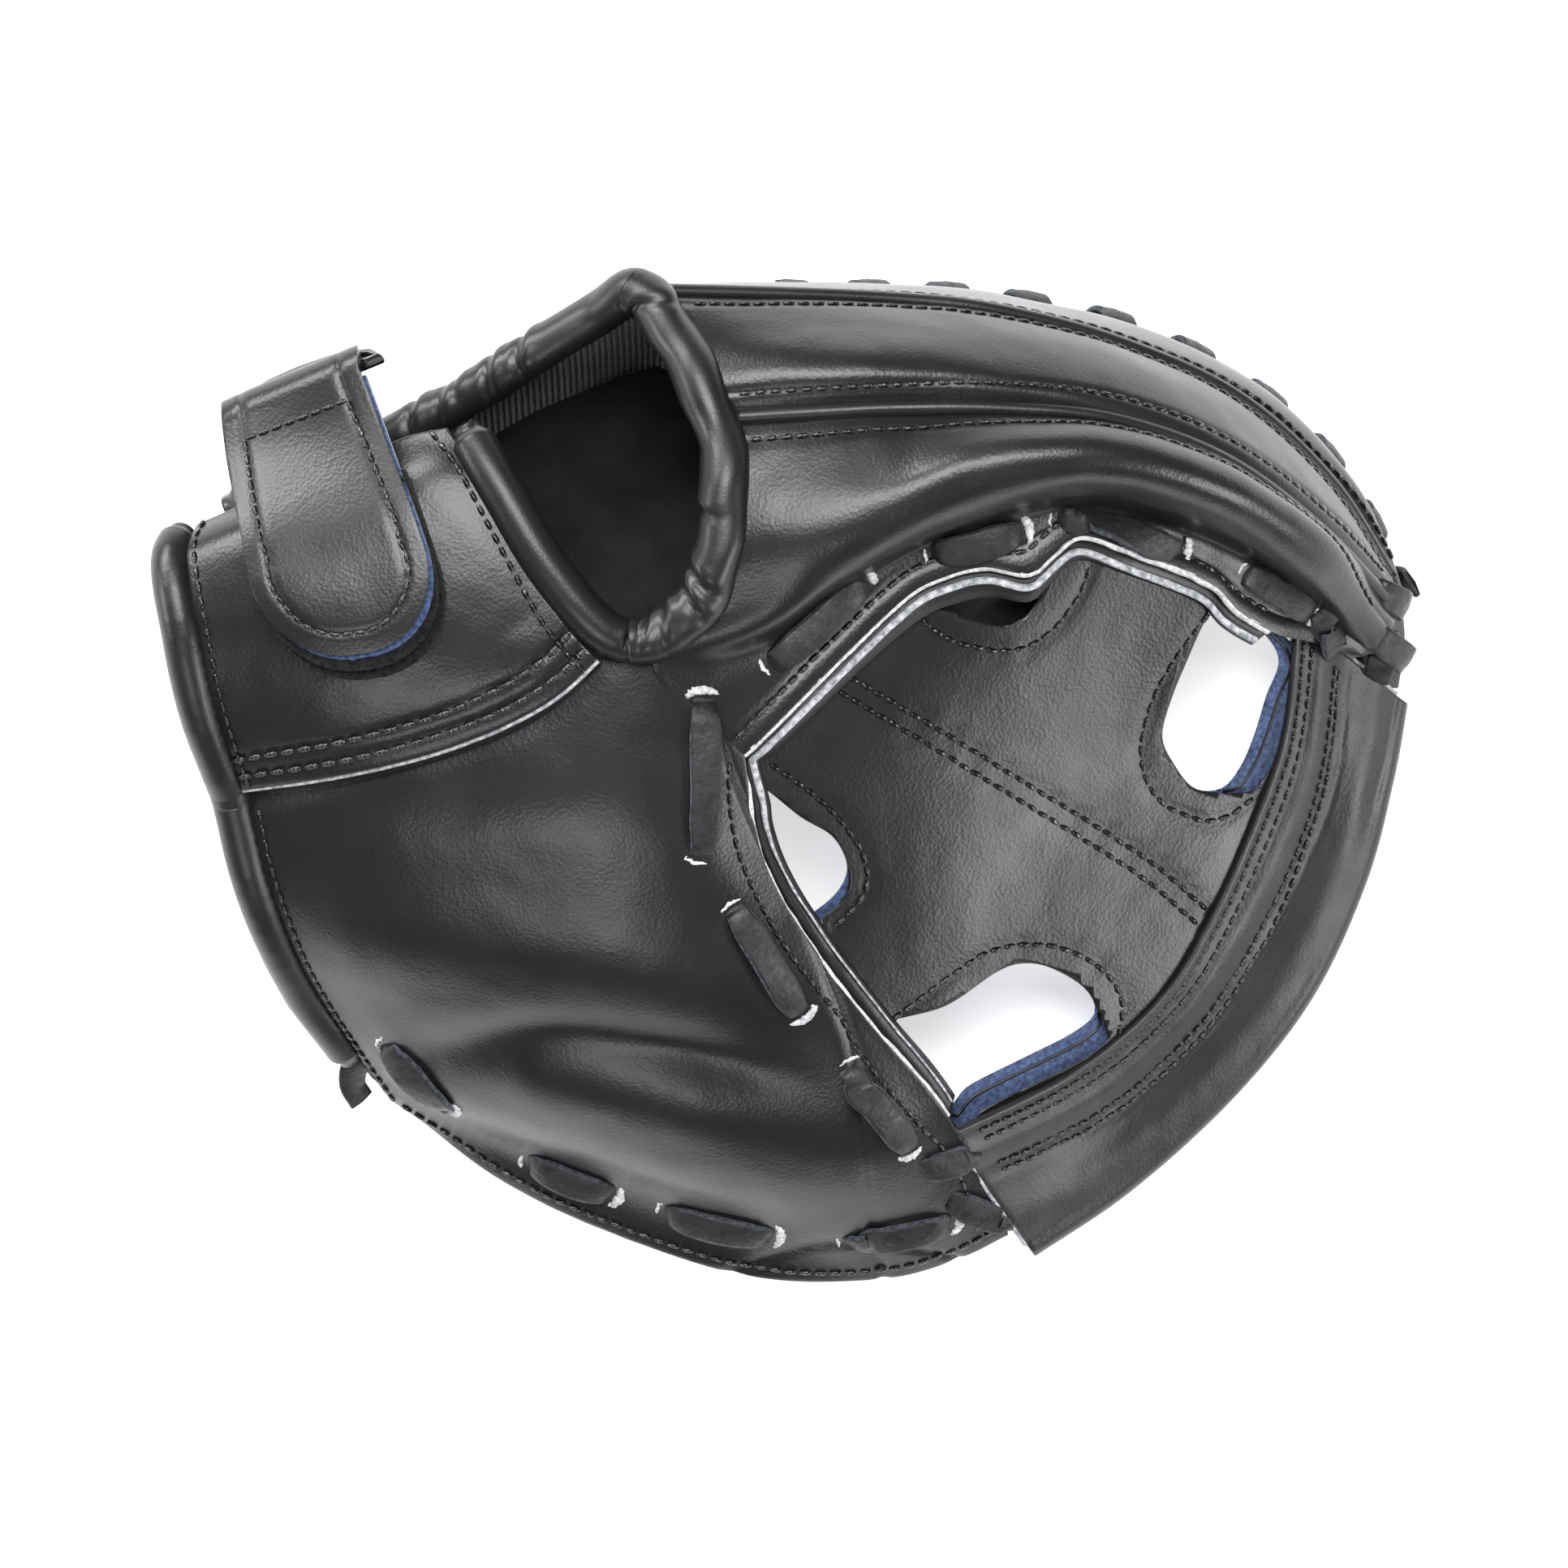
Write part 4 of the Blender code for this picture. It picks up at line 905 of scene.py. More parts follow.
def binding(name, path, body, radius, depth, seed, folds, pinches=(), open_ends=(True, True)):
    """A roll of soft leather along an edge."""
    path = even(path, max(int(lengths(path)[-1] / 0.6), 40))
    radii = pucker(path, radius, depth, seed, folds, pinches, open_ends)
    tube(name + "_leather", path, radii, ROLLED_HIDE, body, (name,), sides=BINDING_SIDES)


def make_back():
    """Back panels; returns the shaped grids for what is sewn on them."""
    sheet("opening_corner_lining", loft(OPENING_CORNER, 14, 16), LINING, MESH_CLOTH, FINGER_HALF,
          slot="lining_cloth")
    shapes = {
        "thumb_back_shell": (shaped_thumb_back(), THUMB_HALF),
        "wrist_strap_panel": (shaped_strap(), FINGER_HALF),
        "index_back_shell": (shaped_index(), FINGER_HALF),
        "middle_back_shell": (shaped_middle(), FINGER_HALF),
        "outer_finger_back_shell": (shaped_outer(), FINGER_HALF),
        "little_finger_heel_wall": (trimmed(loft(HEEL_WALL, 24, 60), 4, 0, 0, 0.9), FINGER_HALF),
    }
    for node, (grid, body) in shapes.items():
        piece = sheet(node + "_leather", grid, LEATHER, HIDE, body, (node,))
    return {node: grid for node, (grid, _) in shapes.items()}


def make_bindings():
    """The rolled leather along the wrist and round the opening."""
    strap, thumb = loft(WRIST_STRAP, 20, 40), loft(THUMB_BACK, 20, 40)
    wall = loft(HEEL_WALL, 10, 40)
    meeting = (strap[0, 0] + thumb[0, 0]) / 2
    binding("wrist_binding_strap_side", np.vstack([meeting, strap[1:, 0]]), FINGER_HALF,
            radius=5.0, depth=0.15, seed=1.0, folds=16, open_ends=(False, True))
    binding("wrist_binding_thumb_side", np.vstack([meeting, walk(thumb[:, 0], 3, 12)]), THUMB_HALF,
            radius=5.0, depth=0.15, seed=2.0, folds=16, open_ends=(False, True))
    binding("opening_binding_strap_side", spline((*STRAP_BINDING, FINGER_BINDING[1]), 60), FINGER_HALF,
            radius=5.6, depth=0.2, seed=3.0, folds=14, pinches=(0.93, 0.97), open_ends=(True, False))
    binding("opening_binding_finger_side", spline(FINGER_BINDING, 90), FINGER_HALF,
            radius=6.0, depth=1.1, seed=4.0, folds=12, pinches=(0.05, 0.1, 0.15, 0.2, 0.26, 0.42, 0.93),
            open_ends=(False, False))
    top = spline(np.vstack([even(wall[0], 12)[:-1], FINGER_BINDING[-1], FINGER_BINDING[-2]]), 80)
    binding("opening_binding_heel_side", top, FINGER_HALF,
            radius=5.4, depth=0.8, seed=5.0, folds=12, pinches=(0.44, 0.5, 0.56, 0.62, 0.7),
            open_ends=(True, False))


def make_heel_lining():
    """The ribbed lining inside the heel wall, which slants inward so that it shows through the opening."""
    cloth = trimmed(loft(HEEL_WALL, 24, 60), 3, 0, 2, 1)
    down = np.linspace(0, 1, 24)[:, None]
    cloth = cloth - (2.6 + 14 * down ** 1.2)[..., None] * np.array((-0.32, 0.95, 0.0))
    cloth = sheet("heel_wall_lining_cloth", cloth, LINING, MESH_CLOTH, FINGER_HALF,
                  ("heel_wall_lining",), "lining_cloth")


def make_welts():
    """The thin rolls sewn in between the finger stalls."""
    for node, net, start in (("finger_welt_1", INDEX_BACK, 5), ("finger_welt_2", MIDDLE_BACK, 6)):
        path = even(walk(loft(net, 20, 110)[-1], start, 3), 150)
        tube(node + "_leather", path, WELT_RADIUS, ROLLED_HIDE, FINGER_HALF, (node,), sides=12)


def make_palm():
    """Palm leather with the pocket, in two halves that meet along the crease."""
    thumb = trimmed(loft(THUMB_PALM, 60, 90), 0.05, 0, 0, 3)
    finger = trimmed(loft(FINGER_PALM, 60, 110), (0.05, 0.05, 0.05, 0.05, 3, 1.5, 1, 1), 0)
    for side, grid, body in (("thumb", thumb, THUMB_HALF), ("finger", finger, FINGER_HALF)):
        node = "palm_shell_" + side + "_side"
        grid = raised(grid, 0.3 * rough(grid, 22, 2))
        sheet(node + "_leather", grid, LEATHER, PALM_HIDE, body, (node,))
    return {"thumb": thumb, "finger": finger}


LININGS = {  # cloth, the size it is cut from, its own area in square metres, and what it is laid on
    "palm_lining_finger_side": (LINING_CLOTH, (0.27, 0.115), 0.0165, "palm_pad_finger_side"),
    "palm_lining_thumb_side": (LINING_CLOTH, (0.15, 0.105), 0.0092, "palm_pad_thumb_side"),
    "thumb_back_lining": (LINING_CLOTH, (0.12, 0.105), 0.0077, "thumb_pad"),
    "index_finger_lining": (LINING_CLOTH, (0.068, 0.012), 0.0008, "index_finger_pad"),
    "middle_finger_lining": (LINING_CLOTH, (0.17, 0.028), 0.0046, "middle_back_shell"),
}


def make_inner_layers():
    """Pads and linings, which keep their solids' shapes and are settled like the other pieces."""
    pads = ("palm_pad_finger_side", "palm_pad_thumb_side", "thumb_pad", "index_finger_pad", "web_bar_core")
    body_of = {node: body for body, nodes in frame["record"]["behaviour"]["bodies"].items() for node in nodes}
    for node in (*LININGS, *pads):
        mesh = frame["nodes"][node].data.copy()
        mesh.materials.clear()
        mesh.materials.append(LININGS[node][0] if node in LININGS else FELT)
        mesh.shade_smooth()
        piece = add_object(node + "_layer", mesh)
        piece["home"] = body_of[node]
        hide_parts(node)
        if node != "web_bar_core":
            rounding = piece.modifiers.new("edges", "BEVEL")
            rounding.width = 0.4 * MM
            rounding.angle_limit = math.radians(50)
        settle(piece)


def prism(name, outline, low, high):
    """A cutter with a plan outline."""
    count = len(outline)
    points = [(x, y, z) for z in (low, high) for x, y in outline]
    faces = [tuple(range(count))[::-1], tuple(range(count, 2 * count))]
    faces += [(k, (k + 1) % count, count + (k + 1) % count, count + k) for k in range(count)]
    mesh = bpy.data.meshes.new(name)
    mesh.from_pydata([tuple(p) for p in to_frame(points)], [], faces)
    shape = bmesh.new()
    shape.from_mesh(mesh)
    bmesh.ops.recalc_face_normals(shape, faces=shape.faces)
    shape.to_mesh(mesh)
    shape.free()
    return add_object(name, mesh)


def widened(outline, way, by):
    """An outline pushed out by a distance on the side that faces one way."""
    way = np.array(way) / np.linalg.norm(way)
    along = np.roll(outline, -1, axis=0) - np.roll(outline, 1, axis=0)
    outward = unit(np.column_stack([along[:, 1], -along[:, 0]]))
    if ((outline - outline.mean(axis=0)) * outward).sum() < 0:
        outward = -outward
    return outline + by * np.clip(1.4 * (outward @ way), 0, 1)[:, None] * way


def make_web():
    """Two plies with smooth-edged holes; the lower, blue one shows as a lip inside each hole."""
    grid = loft(WEB, 60, 90)
    plan = np.array([(x, y, 0) for x, y, _ in grid.reshape(-1, 3)]).reshape(grid.shape)
    height = 0.3 * rough(grid, 24, 5) + 0.1 * rough(grid, 6, 1)
    height -= 0.45 * hump(distance_to(spline(WEB_MIDDLE_SEAM, 20), plan) - 2.2, 1.0)
    for seam in HOLE_SEAMS.values():
        height -= 0.45 * hump(distance_to(spline(seam, 20), plan), 1.0)
    upper_grid = raised(grid, height)
    lower_grid = raised(grid, height - WEB_PLY - 0.2)
    plies = (("web_back_ply", upper_grid, HIDE, "black_leather"),
             ("web_front_ply", lower_grid, SUEDE, "blue_suede"))
    for layer, (node, layer_grid, finish, slot) in enumerate(plies):
        cutters = []
        for name, outline in WEB_HOLES.items():
            smooth = closed_spline(outline, 72)
            if not layer:
                smooth = widened(smooth, *HOLE_LIPS[name])
            elif name == "upper_hole":
                smooth = smooth.mean(axis=0) + (smooth - smooth.mean(axis=0)) * 1.25
            cutters.append(prism(name + "_" + node, smooth, 0, 110))
        sheet(node + "_leather", layer_grid, WEB_PLY, finish, FINGER_HALF, (node,), slot, bevel=0,
              cutters=cutters)
        for cutter in cutters:
            bpy.data.objects.remove(cutter)
    lower = Surface(lower_grid)
    for name, (way, wide) in HOLE_LIPS.items():
        if wide < 4:
            continue
        inner = closed_spline(WEB_HOLES[name], 72)
        line = widened(inner, way, 0.42 * wide)
        shown = np.linalg.norm(line - inner, axis=1) > 0.2 * wide
        first = int(np.argmax(shown & ~np.roll(shown, 1)))
        path = [lower.at(x, y)[0] + (0, 0, 1.0) for x, y in np.roll(line, -first, axis=0)[:int(shown.sum())]]
        tube(name + "_lip_seam", np.array(path), 0.5, ROLLED_HIDE, FINGER_HALF, sides=8)
    return upper_grid


def make_bar():
    """The folded bar and the raw cut ends of its upper ply."""
    whole, upper = shaped_bar()
    sheet("web_bar_leather", whole, 2.0, BAR_HIDE, FINGER_HALF, ("web_bar",))
    for name, edge in (("finger", upper[:, 0]), ("thumb", upper[:, -1])):
        tube("web_bar_cut_edge_" + name, edge - (0, 0, 0.3), 0.85, CUT_GREY, FINGER_HALF, sides=8)
    return upper


def make_crotch_edges(shapes, web):
    """The white cut edges of the back's flange, and of the palm leather that shows just inside them."""
    back_edge = np.vstack([shapes["thumb_back_shell"][6:58, -1][::-1], shapes["index_back_shell"][0, :92]])
    path = even(back_edge, 260)
    wave = 0.25 * rough(path, 5)[:, None] * np.array((1, 1, 0))
    share = np.linspace(0, 1, len(path))[:, None]
    finger_part = np.clip((share - 0.3) / 0.08, 0, 1)
    thick = 0.75 + 0.45 * finger_part + 0.1 * rough(path, 3)[:, None]
    tube("crotch_cut_edge", path + wave, thick, CUT_WHITE, FINGER_HALF, sides=10)
    inward = unit((np.array((62.0, -8.0, 0.0)) - path) * (1, 1, 0))
    second = path + inward * (3.6 + 0.6 * np.sin(9 * share)) - np.array((0, 0, 2.4))
    thin = thick - 0.3 - 0.15 * (1 - finger_part)
    tube("crotch_palm_cut_edge", second + 0.3 * wave[::-1], thin, CUT_GREY, FINGER_HALF, sides=10)
    reach = 5.0 + 2.4 * hump(share - 0.68, 0.1)
    rows = [path - (0, 0, 2.6), second - (0, 0, 1.3), path + inward * reach - np.array((0, 0, 5.0))]
    sheet("crotch_palm_edge_leather", np.array(rows), 1.2, PALM_HIDE, FINGER_HALF, bevel=0)
    below = Surface(web)
    flap = [[below.at(x, y)[0] - (0, 0, 7.5) for x in np.linspace(26, 76, 20)] for y in (32, 38, 44, 50, 56)]
    sheet("crotch_palm_flap_leather", np.array(flap), 1.6, PALM_HIDE, FINGER_HALF, bevel=0)


def make_wrist_seam(shapes):
    """The leather under the wrist panel's seam, which keeps it closed as the mitt folds, and its cut edge."""
    strap, thumb = shapes["wrist_strap_panel"], Surface(shapes["thumb_back_shell"])
    inside = trimmed(strap, first_row=7)[0] - (0, 0, 2.5)
    beyond = np.array([thumb.at(x + 0.8, y - 5)[0] for x, y, _ in strap[0]]) - (0, 0, 2.6)
    middle = (strap[0] + beyond) / 2 - (0, 0, 1.5)
    sheet("wrist_seam_margin", np.array([inside, middle, beyond]), 1.6, HIDE, FINGER_HALF, bevel=0)
    seam = even(strap[0], 120)
    tube("strap_cut_edge", seam - (0, 0.2, 0.5), 0.95, CUT_GREY, FINGER_HALF, sides=10)


def laced_path(stretches, top, bottom, high, low, arch=1.6):
    """A lace's middle line and the way its face looks: over each stretch, down a hole, and on underneath."""
    path = []
    ups = []
    widths = []

    def add(spot, up, wide=0.78):
        path.append(spot)
        ups.append(up)
        widths.append((wide * LACE_WIDTH,))

    for n, (start, end) in enumerate(stretches):
        start, end = np.array(start, float), np.array(end, float)
        heading = np.append((end - start) / np.linalg.norm(end - start), 0.0)
        spot, up = bottom.at(*start)
        add(spot - (0, 0, low), -heading)
        spot, up = top.at(*start)
        add(spot - (0, 0, 2.5), -heading)
        for share in np.linspace(0.03, 0.97, 12):
            spot, up = top.at(*(start + (end - start) * share))
            from_end = min(share, 1 - share)
            rise = high + arch * math.sin(math.pi * share) ** 0.8 - 1.4 * hump(from_end, 0.05)
            lean = 0.3 * math.sin(math.pi * share) * np.cross(up, heading)
            add(spot + rise * up, up + lean, 1.06 - 0.3 * hump(from_end, 0.14))
        spot, up = top.at(*end)
        add(spot - (0, 0, 2.5), heading)
        spot, up = bottom.at(*end)
        add(spot - (0, 0, low), heading)
        if n < len(stretches) - 1:
            after = np.array(stretches[n + 1][0], float)
            for share in (0.2, 0.4, 0.6, 0.8):
                spot, up = bottom.at(*(end + (after - end) * share))
                add(spot - (0, 0, low + 1.0), -up)
    path, ups, widths = np.array(path), np.array(ups), np.array(widths)
    count = 4 * len(path)
    path = spline(path, count)
    path[:, 2] = np.maximum(path[:, 2], 1.2 * LACE_THICKNESS)
    return path, spline(ups, count), spline(widths, count)[:, 0]


def hole_rim(name, spots, top, body):
    """The raw, pale flesh of the leather that shows on one side of each punched hole."""
    points = []
    faces = []
    for n, (x, y, turn, size) in enumerate(spots):
        middle, up = top.at(x, y)
        along = np.array((math.cos(turn), math.sin(turn), 0.0))
        along = along - (along @ up) * up
        across = np.cross(up, along)
        count, sides = 22, 7
        first = len(points)
        lean = 0.5 * math.sin(3.7 * n + x)
        for k in range(count):
            a = lean + (k / (count - 1) - 0.5) * (1.4 + 1.5 * size)
            fray = 1 + 0.16 * noise.noise(Vector((x + 4 * math.cos(a), y + 4 * math.sin(a), 0)))
            centre = middle + (2.5 * math.cos(a) * along + 4.5 * math.sin(a) * across) * fray + 1.1 * up
            out = math.cos(a) * along + math.sin(a) * across
            swell = math.sin(math.pi * (k + 0.3) / count) ** 0.6
            thick = (0.4 + 1.1 * size) * swell * (1 + 0.5 * noise.noise(Vector((x + 0.9 * k, y, 3))))
            for s in range(sides):
                b = 2 * math.pi * s / sides
                points.append(centre + thick * (math.cos(b) * out + 0.8 * math.sin(b) * up))
        faces += quads(count, sides, first, wrap=True)
    return settle(place(name, np.array(points), faces, CUT_WHITE, body))


def ends_of(stretches):
    """Each stretch's two ends, with the way out of the lace there and how much raw leather shows."""
    found = []
    for (ax, ay), (bx, by) in stretches:
        turn = math.atan2(by - ay, bx - ax)
        found += [(ax, ay, turn + math.pi, 0.15), (bx, by, turn, 0.8)]
    return found


def make_laces(shapes, palm, bar):
    """The laces along the crotch and the thumb's rim, and the ties at the web's corners."""
    back = Surface(shapes["thumb_back_shell"], shapes["index_back_shell"])
    under = Surface(palm["thumb"], palm["finger"])
    laces = {
        "crotch_lace_finger_side": (CROTCH_STRETCHES, FINGER_HALF, 1.9),
        "crotch_lace_thumb_side": (CROTCH_THUMB_STRETCHES, THUMB_HALF, 1.7),
        "thumb_rim_lace": (THUMB_RIM_STRETCHES, THUMB_HALF, 1.7),
    }
    for node, (stretches, body, high) in laces.items():
        low = 3.4 if node == "thumb_rim_lace" else 5.0
        path, ups, widths = laced_path(stretches, back, under, high, low)
        band(node + "_hide", path, ups, widths, LACE_THICKNESS, LACE, body, (node,))
        hole_rim(node + "_holes", ends_of(stretches), back, body)
    over = Surface(shapes["thumb_back_shell"], shapes["index_back_shell"], bar)
    for node, stretch in WEB_TIES.items():
        laid_on = over if node == "web_tie_finger_inner" else back
        path, ups, widths = laced_path((stretch,), laid_on, under, 1.6, 2.0, arch=1.0)
        band(node + "_hide", path, ups, widths, LACE_THICKNESS, LACE, FINGER_HALF, (node,))


def make_rim_lace():
    """The lace that whips over the edge of the finger side."""
    turns = FINGER_RIM_TURNS
    count = turns * 26 + 1
    middle = (spline(OUTER_FINGER_BACK[-1][1:], count) + spline(FINGER_PALM[-1][3:], count)) / 2
    ahead = np.gradient(middle, axis=0)
    outward = unit(np.cross(ahead, (0, 0, 1)) * (-1, -1, 0))
    angle = np.linspace(0, 2 * math.pi * turns, count)[:, None]
    up = np.array((0, 0, 1.0))
    middle = middle - RIM_LACE_SET_IN * outward
    flat = np.abs(np.cos(angle)) ** 0.7 * np.sign(np.cos(angle))
    path = middle + RIM_LACE_REACH * flat * outward + RIM_LACE_RISE * np.sin(angle) * up
    ups = np.cos(angle) * outward + np.sin(angle) * up
    band("finger_rim_lace_hide", path, ups, LACE_WIDTH, LACE_THICKNESS, LACE, FINGER_HALF,
         ("finger_rim_lace",))


def heel_lace_end():
    """A lace's cut end that sticks out at the heel."""
    path = even(spline(HEEL_LACE_END, 24), 24)
    ups = np.tile(np.array((0.15, 0.2, 1.0)), (24, 1))
    band("heel_lace_end", path, ups, LACE_WIDTH * 0.9, LACE_THICKNESS, LACE, THUMB_HALF)


def finger_corner():
    """Between the stall's tip and the bar's finger end: palm leather, and laces whipped round it."""
    sheet("palm_corner_leather", loft(PALM_CORNER, 14, 14), 2.0, PALM_HIDE, FINGER_HALF)
    for name, points in CORNER_LACES.items():
        path = even(spline(points, 40), 40)
        ahead = np.gradient(path, axis=0)
        side = unit(np.cross(ahead, (0, 0, 1.0)))
        side[:] = side[len(side) // 2]
        ups = np.cross(side, ahead)
        band(name, path, ups, LACE_WIDTH, LACE_THICKNESS, LACE, FINGER_HALF)


def strap_grid(edges, columns, panel, height, rows):
    """A fine grid across a strap's edges, laid on the panel wherever an edge states no height of its own."""
    made = []
    for left, right in edges:
        shares = np.linspace(0, 1, columns)[:, None]
        plan = np.array(left[:2]) + (np.array(right[:2]) - left[:2]) * shares
        if len(left) == 3:
            heights = left[2] + (right[2] - left[2]) * shares[:, 0]
        else:
            heights = [panel.at(x, y)[0][2] + height for x, y in plan]
        made.append(np.column_stack([plan, heights]))
    made = np.array(made)
    return np.array([spline(made[:, k], rows) for k in range(columns)]).transpose(1, 0, 2)


def tongue(panel, height, grow=0.0):
    """The pull strap's grid, its last part drawn in to a round end; grow widens it all round."""
    columns, rows = STRAP_COLUMNS, STRAP_ROWS
    grid = strap_grid(PULL_STRAP_EDGES, columns, panel, height, rows)
    first = int(rows * (1 - STRAP_ROUND_SHARE))
    left, right = grid[first, 0].copy(), grid[first, -1].copy()
    side = (right - left) / np.linalg.norm(right - left)
    radius = np.linalg.norm(right - left) / 2 + grow
    ahead = grid[first].mean(axis=0) - grid[first - 8].mean(axis=0)
    ahead /= np.linalg.norm(ahead)
    middle = (left + right) / 2
    across = np.linspace(-1, 1, columns)[:, None]
    for r in range(first):
        centre = (grid[r, 0] + grid[r, -1]) / 2
        grid[r] = centre + across * ((grid[r, -1] - grid[r, 0]) / 2 + grow * side)
    for r in range(first, rows):
        a = (r - first) / (rows - 1 - first) * math.radians(84)
        half = radius * math.cos(a) ** 0.9
        plan = middle + side * half * across + ahead * radius * math.sin(a)
        for c in range(columns):
            x, y = plan[c][:2]
            grid[r, c] = (x, y, panel.at(x, y)[0][2] + height)
    for _ in range(30):
        grid[1:-1, :, 2] = (grid[:-2, :, 2] + 2 * grid[1:-1, :, 2] + grid[2:, :, 2]) / 4
    return grid


def outline_of(grid):
    """A strap grid's two long edges and its round end, as one line."""
    return np.vstack([grid[:, 0], grid[-1, 1:-1], grid[::-1, -1]])


def make_strap(strap):
    """Pull strap: leather, blue suede ply, hook and loop tape, and the run that passes through the ring."""
    panel = Surface(strap)
    shape = tongue(panel, PULL_HEIGHT)
    inner = distance_to(outline_of(shape), shape)
    height = 0.12 * rough(shape, 12, 3) - 0.45 * hump(inner - 5.0, 0.8) + 0.6 * np.clip(inner / 7, 0, 1)
    top = raised(shape, height)
    fold = [top[0] + (-1.2 * math.sin(a) * 0.2, 4.2 * math.sin(a) + 1.2 * a / 3, -4.4 * (1 - math.cos(a)))
            for a in np.linspace(math.pi * 0.86, 0.16, 12)]
    whole = np.vstack([np.array(fold), top])
    sheet("pull_strap_leather", whole, LEATHER, HIDE, "pull_strap_body", ("pull_strap",))
    suede = raised(shape, -1.7)
    suede[..., :2] += (1.1, -1.5)
    sheet("pull_strap_suede", suede, 1.5, SUEDE, "pull_strap_body", slot="blue_suede")
    hook = tongue(panel, HOOK_HEIGHT + 0.3)[34:]
    hook[..., :2] += (2.4, -3.9)
    sheet("hook_patch_tape", hook, 1.8, HOOK, "pull_strap_body", ("hook_patch",), "hook_tape",
          bevel=0)
    patch = tongue(panel, LOOP_HEIGHT, grow=0.4)[30:]
    patch[..., :2] += (3.6, -5.6)
    sheet("loop_patch_tape", patch, 2.4, HOOK, FINGER_HALF, ("loop_patch",), "hook_tape", bevel=0)
    run = strap_grid(STRAP_RUN, 24, panel, 0, 40)
    sheet("strap_run_leather", run, LEATHER, HIDE, FINGER_HALF, ("strap_run",))
    strap_stitches(shape, top)


def strap_stitches(shape, top):
    """The pull strap's stitching: down one side, round the end, back up, and once across by the fold."""
    over = Surface(top)
    start, first = 12, 62
    inset = STRAP_STITCH_INSET
    left, right = shape[first, 0], shape[first, -1]
    side = (right - left) / np.linalg.norm(right - left)
    ahead = shape[first].mean(axis=0) - shape[first - 8].mean(axis=0)
    ahead /= np.linalg.norm(ahead)
    reach = np.linalg.norm(right - left) / 2 - inset
    middle = (shape[65, 0] + shape[65, -1]) / 2
    down = [shape[r, 0] + inset * side for r in range(start, first, 4)]
    back = [shape[r, -1] - inset * side for r in range(start, first, 4)][::-1]
    round_end = [middle + reach * (-math.cos(a) * side + math.sin(a) * ahead)
                 for a in np.linspace(0.1, 3.04, 16)]
    across = [shape[start, 0] + inset * side, shape[start].mean(axis=0), shape[start, -1] - inset * side]
    rows = [over.lay([*down, *round_end, *back], 220, 1.25), over.lay(across, 40, 1.25)]
    stitches("pull_strap_stitches", rows, "pull_strap_body", pitch=CLOSE_PITCH)


def make_ring():
    """The leather tab that holds the ring, and the ring's own finish."""
    start, end = np.array(FOLD_AXIS)
    bar = (end - start) / np.linalg.norm(end - start)
    middle = (start + end) / 2 + 2.5 * bar
    rows = []
    for along, out, down in RING_TAB_ROWS:
        rows.append([middle + bar * side * along + (0, out, -down) for side in (-1, -0.33, 0.33, 1)])
    sheet("ring_tab_leather", loft(rows, 20, 14), LEATHER, HIDE, FINGER_HALF, ("ring_tab",))
    ring = frame["nodes"]["d_ring"]
    ring.data.materials.clear()
    ring.data.materials.append(ENAMEL)


def make_loops(palm):
    """The thumb's and the little finger's loops, inside."""
    loops = {"thumb_loop": ((-48, -36), (0.26, -0.97), 26, 10, palm["thumb"], THUMB_HALF),
             "little_finger_loop": ((-4, 88), (0.0, 1.0), 24, 14, palm["finger"], FINGER_HALF)}
    for node, (spot, heading, span, rise, grid, body) in loops.items():
        surface = Surface(grid)
        path = []
        ups = []
        for angle in np.linspace(0, math.pi, 40):
            x, y = np.array(spot) - np.array(heading) * span / 2 * math.cos(angle)
            path.append(surface.at(x, y)[0] + (0, 0, 18.5 + rise * math.sin(angle)))
            flat = -math.cos(angle) * np.array((*heading, 0.0))
            ups.append(flat + np.array((0, 0, math.sin(angle))))
        band(node + "_leather", np.array(path), np.array(ups), 9.0, 1.5, ROLLED_HIDE, body, (node,),
             "black_leather")


def turned_heel(palm):
    """The palm leather turned up over the raw ends of pad and lining, along the wrist."""
    for side, body in (("thumb", THUMB_HALF), ("finger", FINGER_HALF)):
        edge, ups = palm[side][:, 0], normals(palm[side])[:, 0]
        if side == "thumb":
            edge, ups = edge[:50], ups[:50]
        ups = ups * np.clip((len(edge) - 1 - np.arange(len(edge))) / 14 + 0.25, 0, 1)[:, None]
        out = unit(np.cross(np.gradient(edge, axis=0), (0, 0, 1.0)))
        out *= -np.sign(out[:, :1])
        line = [edge + along * out + rise * ups
                for along, rise in ((0, 0), (2.6, 1.5), (3.4, 6), (2.8, 11), (0, 14), (-5, 14.6))]
        grid = np.array([spline([row[k] for row in line], 24) for k in range(len(edge))]).transpose(1, 0, 2)
        sheet("palm_heel_edge_" + side, grid, 1.6, ROLLED_HIDE, body, bevel=0)


def close_seams(shapes, palm):
    """Edges that are sewn flush: the rim between back and palm, and the upright seam behind the opening."""
    outer, thumb = shapes["outer_finger_back_shell"], shapes["thumb_back_shell"]
    rims = {"thumb_rim_edge": (thumb[-1], palm["thumb"][-1], THUMB_HALF),
            "finger_rim_edge": (outer[-1], palm["finger"][-1], FINGER_HALF)}
    for name, (over, under, body) in rims.items():
        over, under = even(over, 140), even(under, 140)
        if name == "finger_rim_edge":
            under = even(palm["finger"][-1][34:], 140)
        inward = unit((np.array((20.0, 0.0, 0.0)) - (over + under) / 2) * (1, 1, 0))
        rows = [over + inward * 2.2, (over + under) / 2 + inward * 1.2, under + inward * 2.2]
        sheet(name + "_leather", np.array(rows), 1.8, PALM_HIDE, body, bevel=0)
    seam = even(spline([row[0] for row in OUTER_FINGER_BACK], 30), 40)[2:]
    tube("heel_seam_welt", seam, 2.6, ROLLED_HIDE, FINGER_HALF, sides=12)


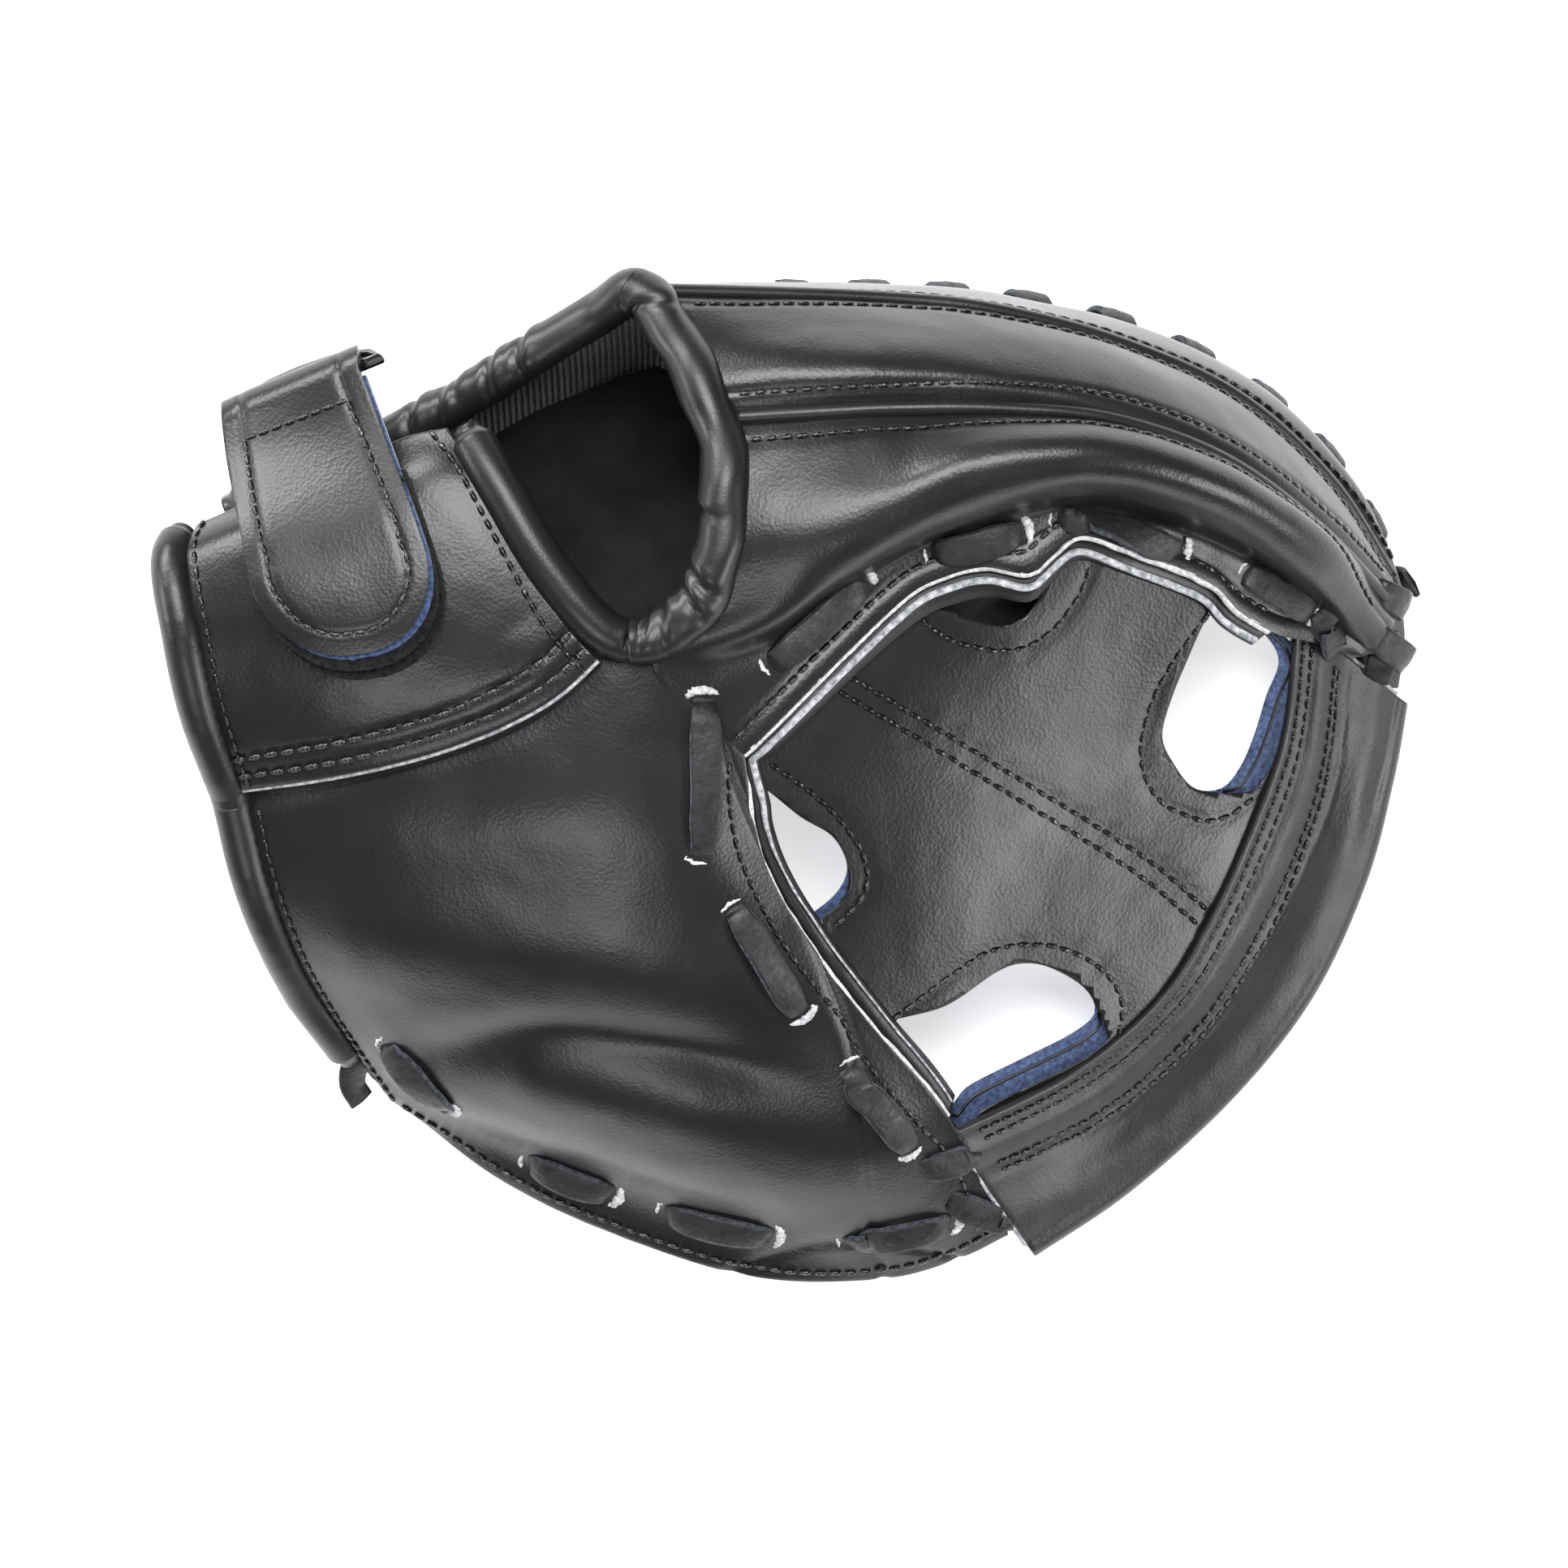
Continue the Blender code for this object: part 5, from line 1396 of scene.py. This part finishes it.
def make_stitching(shapes, bar, web):
    """Every row of thread that shows on the back, the web and the bar."""
    thumb, strap = shapes["thumb_back_shell"], shapes["wrist_strap_panel"]
    index, middle = shapes["index_back_shell"], shapes["middle_back_shell"]
    outer = shapes["outer_finger_back_shell"]
    rows = [edge_row(thumb, last_column=7.5), edge_row(thumb, last_row=4),
            edge_row(thumb, first_column=2.4)]
    stitches("thumb_side_stitches", [(line[3:-3], ups[3:-3]) for line, ups in rows], THUMB_HALF)
    rows = [edge_row(strap, first_column=2.4), edge_row(strap, 1.4, last_column=4.4)]
    stitches("wrist_strap_stitches", rows, FINGER_HALF)
    rows = [edge_row(strap, first_row=distance) for distance in PANEL_ROWS]
    stitches("wrist_seam_stitches", rows, FINGER_HALF, pitch=SEAM_PITCH, radius=SEAM_THREAD_RADIUS)
    line, ups = edge_row(index, first_row=4.8)
    rows = [(line[:96], ups[:96]), edge_row(index, last_row=5.0), edge_row(middle, first_row=4.6),
            edge_row(middle, last_row=4.6), edge_row(outer, first_row=3.6)]
    stitches("finger_side_stitches", [(line[2:-4], ups[2:-4]) for line, ups in rows], FINGER_HALF)
    surface = Surface(web)
    rows = []
    for shift in (-2.2, 2.2):
        seam = [(x + 0.52 * shift, y + 0.85 * shift) for x, y in WEB_MIDDLE_SEAM]
        rows.append(surface.lay([(*spot, 0) for spot in seam], 80, 1.0))
    for seam in HOLE_SEAMS.values():
        rows.append(surface.lay([(*spot, 0) for spot in seam], 60, 1.0))
    stitches("web_stitches", rows, FINGER_HALF)
    rows = [edge_row(bar[::-1], 1.0, last_row=distance) for distance in BAR_ROWS]
    stitches("bar_stitches", [(line[3:-3], ups[3:-3]) for line, ups in rows], FINGER_HALF, pitch=CLOSE_PITCH)


def area_light(name, spot, aim, width, height, power):
    """A soft rectangular light that looks at a point."""
    data = bpy.data.lights.new(name, "AREA")
    data.shape = "RECTANGLE"
    data.size = width
    data.size_y = height
    data.energy = power
    lamp = add_object(name, data)
    lamp.location = spot
    lamp.rotation_euler = (Vector(aim) - Vector(spot)).to_track_quat("-Z", "Y").to_euler()


def make_studio():
    """A white table top, five soft lights, and the camera straight above."""
    mesh = bpy.data.meshes.new("table_top")
    mesh.from_pydata([(-3, -3, 0), (3, -3, 0), (3, 3, 0), (-3, 3, 0)], [], [(0, 1, 2, 3)])
    floor = add_object("table_top", mesh)
    white = Shader("white_table", (0.9, 0.9, 0.905), 0.8, specular=0.1)
    white.main.inputs["Emission Color"].default_value = (1, 1, 1, 1)
    white.main.inputs["Emission Strength"].default_value = 0.62
    white.bump(white.noise(0.004, 3), 0.00002, 0.2)
    mesh.materials.append(white.made)
    world = bpy.data.worlds.new("studio")
    bpy.context.scene.world = world
    world.use_nodes = True
    world.node_tree.nodes["Background"].inputs["Color"].default_value = (0.96, 0.98, 1.0, 1)
    world.node_tree.nodes["Background"].inputs["Strength"].default_value = 0.1
    for name, light in LIGHTS.items():
        area_light(name, *light)
    camera = add_object("camera", bpy.data.cameras.new("camera"))
    camera.location = (*to_frame((0, 0, 0))[:2], CAMERA_HEIGHT)
    camera.data.sensor_width = SENSOR_WIDTH
    camera.data.lens = SENSOR_WIDTH * (CAMERA_HEIGHT - MID_DEPTH) / PHOTO_WIDTH
    camera.data.clip_end = 20
    bpy.context.scene.camera = camera
    bpy.context.scene.view_settings.view_transform = "Standard"


def main():
    make_studio()
    shapes = make_back()
    make_bindings()
    make_heel_lining()
    make_welts()
    palm = make_palm()
    make_inner_layers()
    web = make_web()
    bar = make_bar()
    make_crotch_edges(shapes, web)
    make_wrist_seam(shapes)
    make_laces(shapes, palm, bar)
    make_rim_lace()
    finger_corner()
    heel_lace_end()
    make_strap(shapes["wrist_strap_panel"])
    make_ring()
    make_loops(palm)
    close_seams(shapes, palm)
    turned_heel(palm)
    make_stitching(shapes, bar, web)


main()
